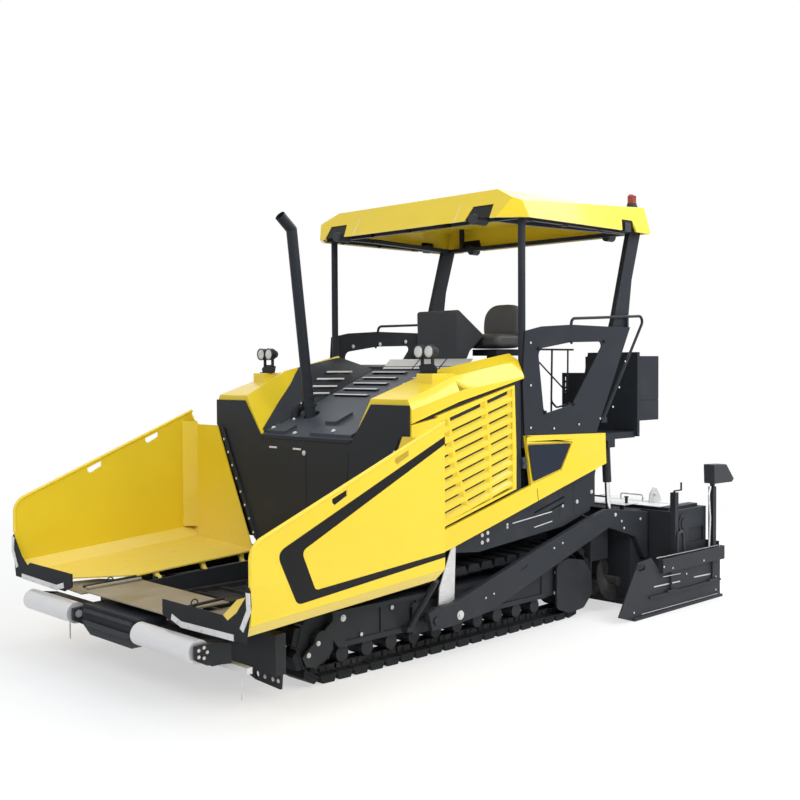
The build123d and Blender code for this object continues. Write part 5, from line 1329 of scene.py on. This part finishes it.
class PAVER_OT_screed(Step, bpy.types.Operator):
    """Covers, posts, strips and pipes of the screed"""

    bl_idname = "paver.screed"
    bl_label = "Screed"

    def build(self, scene):
        low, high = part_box("screed_body")
        top = high.z
        y0, y1 = low.y + 0.015, high.y - 0.012
        covers = [box_parts((x, y0, top), (x + 0.76, y1, top + 0.006)) for x in (-1.16, -0.38, 0.4)]
        group("screed_covers", covers, "zinc", "screed", edge=0.001)
        posts = []
        for x in (-1.09, -0.45, 0.45, 1.09):
            posts.append(round_parts((x, 1.97, top), (x, 1.97, top + 0.07), 0.014, 14))
            posts.append(round_parts((x, 1.97, top + 0.06), (x, 1.97, top + 0.072), 0.022, 14))
        posts += [self.handle(sign * 0.6, sign * 0.9, 1.9, top) for sign in (1, -1)]
        group("screed_posts", posts, "dark", "screed")
        for side, sign in SIDES:
            self.covers(side, sign)
            self.gate(side, sign)

    def handle(self, x0, x1, y, foot):
        """A bent bar standing on a cover."""
        top = foot + 0.06
        return tube_parts([(x0, y, foot), (x0, y, top), (x1, y, top), (x1, y, foot)], 0.008, 0.02, 10)

    def top_of(self, side, sign, y):
        return face_of(side + "_screed_extension", (sign * 0.9, y, 2.0), -UP).z

    def covers(self, side, sign):
        """Covers, height quadrant and handle on an extension."""
        body, flip = side + "_extension", sign < 0
        plates = []
        for y0, y1 in ((2.13, 2.38), (2.4, 2.64)):
            z = self.top_of(side, sign, (y0 + y1) / 2)
            plates.append(box_parts((0.4, y0, z), (1.36, y1, z + 0.006)))
        group(side + "_extension_covers", plates, "zinc", body, flip, edge=0.001)
        top = self.top_of(side, sign, 2.3)
        quadrant = [(2.34, 0.006), (2.352, 0.095), (2.41, 0.15), (2.47, 0.14), (2.52, 0.08), (2.57, 0.006)]
        pieces = [
            side_plate([(y, top + rise) for y, rise in quadrant], 1.1, 0.008),
            tube_parts([(1.08, 2.42, top + 0.08), (1.14, 2.42, top + 0.08)], 0.016, 0.01, 14),
            self.handle(0.7, 0.96, 2.45, top),
        ]
        group(side + "_height_quadrant", pieces, "zinc", body, flip)

    def gate_x(self, side, sign, y0, y1, z):
        """How far out an end gate reaches at a height, between two places along it."""
        samples, plain_face = 5, 1.6
        found = [plain_face]
        for step in range(samples):
            y = y0 + (y1 - y0) * (step + 0.5) / samples
            where = face_of(side + "_end_gate", (sign * 3.0, y, z), (-sign, 0, 0))
            if where is not None:
                found.append(abs(where.x))
        return max(found)

    def gate(self, side, sign):
        """Rub strips, a slot in painted shade, bolts, pipe and conduit of an end gate."""
        body, flip = side + "_extension", sign < 0
        strips = []
        for y0, y1, z, tall in (
            (1.7, 2.79, 0.508, 0.008), (1.64, 2.08, 0.252, 0.01), (2.33, 2.63, 0.246, 0.01),
            (1.44, 2.78, 0.034, 0.006), (1.75, 2.05, 0.335, 0.005),
        ):
            drop = z - 0.01
            outline = [(y0, z), (y1, drop), (y1, drop + tall), (y0, z + tall)]
            strips.append(side_plate(outline, self.gate_x(side, sign, y0, y1, z), 0.004))
        group(side + "_gate_strips", strips, "zinc", body, flip)
        # painted shade: a flat black plate stands for the shaded inside of the slot
        slot = rounded([(1.356, 0.442), (1.476, 0.45), (1.476, 0.496), (1.356, 0.488)], 0.02)
        slot = side_plate(slot, self.gate_x(side, sign, 1.36, 1.46, 0.47), 0.002)
        group(side + "_gate_slot", [slot], "black", body, flip)
        places = ((1.32, 0.07), (2.74, 0.07), (2.74, 0.2), (1.9, 0.4), (2.45, 0.4), (1.75, 0.43), (2.2, 0.3))
        spots = [((sign * self.gate_x(side, sign, y, y, z), y, z), (sign, 0, 0), 0.55) for y, z in places]
        bolts(side + "_gate_bolts", spots, body)
        pipe = [(1.575, 2.1, 0.5), (1.575, 2.1, 0.69), (1.575, 2.19, 0.71), (1.575, 2.215, 0.5)]
        group(side + "_gate_pipe", [tube_parts(pipe, 0.013, 0.05)], "plastic", body, flip)
        conduit = [(1.55, 2.74, 1.085), (1.56, 2.69, 1.0), (1.57, 2.7, 0.78), (1.57, 2.68, 0.5)]
        group(side + "_box_conduit", [tube_parts(conduit, 0.01, 0.08)], "zinc", body, flip)


class PAVER_OT_fasteners(Step, bpy.types.Operator):
    """Fit the bolts, strips and seams that show on the frame and the arms"""

    bl_idname = "paver.fasteners"
    bl_label = "Fasteners"

    guard_x, beam_x, skirt_x, arm_x = 1.1341, 1.1101, 1.2001, 1.2752
    # face: rows of y, z and size
    frame_places = {
        guard_x: (
            (0.97, 0.5, 1.0), (1.14, 0.42, 1.0), (1.15, 0.26, 1.0), (1.05, 0.17, 1.0), (0.857, 0.196, 1.0),
            (0.8, 0.44, 1.0), (0.79, 0.26, 1.0),
        ),
        beam_x: (
            (-1.7, 0.44, 1.5), (-1.52, 0.29, 0.9), (-1.2, 0.44, 1.0), (-0.98, 0.42, 1.0),
            (-1.939, 0.295, 1.1), (-2.03, 0.225, 1.1),
        ),
        skirt_x: (
            (-0.26, 0.9, 1.0), (-0.19, 0.912, 1.0), (-0.26, 0.84, 1.0), (-0.19, 0.852, 1.0),
            (0.06, 0.93, 0.7), (0.06, 0.955, 0.7), (1.03, 1.06, 1.1), (1.25, 1.13, 1.1), (0.3, 1.11, 0.7),
            (0.33, 1.13, 0.7), (0.7, 1.19, 0.7), (0.73, 1.21, 0.7), (0.82, 1.04, 0.8), (1.0, 1.3, 0.9),
        ),
    }
    arm_places = (
        (-0.608, 0.31, 2.2), (1.52, 0.9, 1.0), (1.62, 0.83, 0.7), (1.66, 0.76, 0.7), (1.93, 0.82, 0.8),
        (0.6, 0.7, 0.6), (0.72, 0.73, 0.6), (-0.3, 0.4, 0.5), (-0.2, 0.42, 0.5),
    )

    def build(self, scene):
        spots = [spot for x, rows in self.frame_places.items() for spot in side_spots(x, rows)]
        hung_y, hung_z = -2.3452, 0.118  # front face of the hung plates, at their eyes' height
        spots += [((sign * x, hung_y, hung_z), -ALONG, 0.9) for _, sign in SIDES for x in (1.01, 1.1, 1.16)]
        bolts("frame_bolts", spots)
        strips, seams = [], []
        wide, thick = 0.008, 0.003
        for (y0, z0), (y1, z1) in (((0.127, 0.954), (0.662, 1.001)), ((0.418, 0.889), (0.665, 0.917))):
            outline = [(y0, z0), (y1, z1), (y1, z1 + wide), (y0, z0 + wide)]
            strips.append(side_plate(outline, self.skirt_x, thick))
        for ends in (
            ((0.97, 1.237), (0.98, 0.956)), ((0.32, 1.052), (0.637, 1.083)), ((0.762, 1.16), (0.77, 0.943)),
        ):
            seams.append(tube_parts([(self.skirt_x, *end) for end in ends], 0.0016, 0.001, 6))
        for name, parts, finish in (("skirt_strips", strips, "zinc"), ("skirt_seams", seams, "black")):
            group(name, parts + [flipped_x(part) for part in parts], finish)
        bolts("arm_bolts", side_spots(self.arm_x, self.arm_places), "screed")


class PAVER_PT_panel(bpy.types.Panel):
    """Lists the dressing steps"""

    bl_label = "Paver"
    bl_idname = "PAVER_PT_panel"
    bl_space_type = "VIEW_3D"
    bl_region_type = "UI"
    bl_category = "Paver"

    def draw(self, context):
        for key in ("body_colour", "frame_colour", "edge_width", "key_power"):
            self.layout.prop(context.scene.paver, key)
        for step in STEPS:
            self.layout.operator(step.bl_idname)


STEPS = (
    PAVER_OT_finishes, PAVER_OT_plates, PAVER_OT_tracks, PAVER_OT_hopper, PAVER_OT_hood, PAVER_OT_lamps,
    PAVER_OT_sides, PAVER_OT_canopy, PAVER_OT_apron, PAVER_OT_seat, PAVER_OT_cab, PAVER_OT_screed,
    PAVER_OT_fasteners, PAVER_OT_stage,
)
CLASSES = (PaverSettings,) + STEPS + (PAVER_PT_panel,)


def register():
    for item in CLASSES:
        bpy.utils.register_class(item)
    bpy.types.Scene.paver = bpy.props.PointerProperty(type=PaverSettings)


def unregister():
    del bpy.types.Scene.paver
    for item in reversed(CLASSES):
        bpy.utils.unregister_class(item)


def main():
    """Register the steps and run them in order."""
    register()
    for step in STEPS:
        group_name, name = step.bl_idname.split(".")
        getattr(getattr(bpy.ops, group_name), name)()


if __name__ == "__main__":
    main()
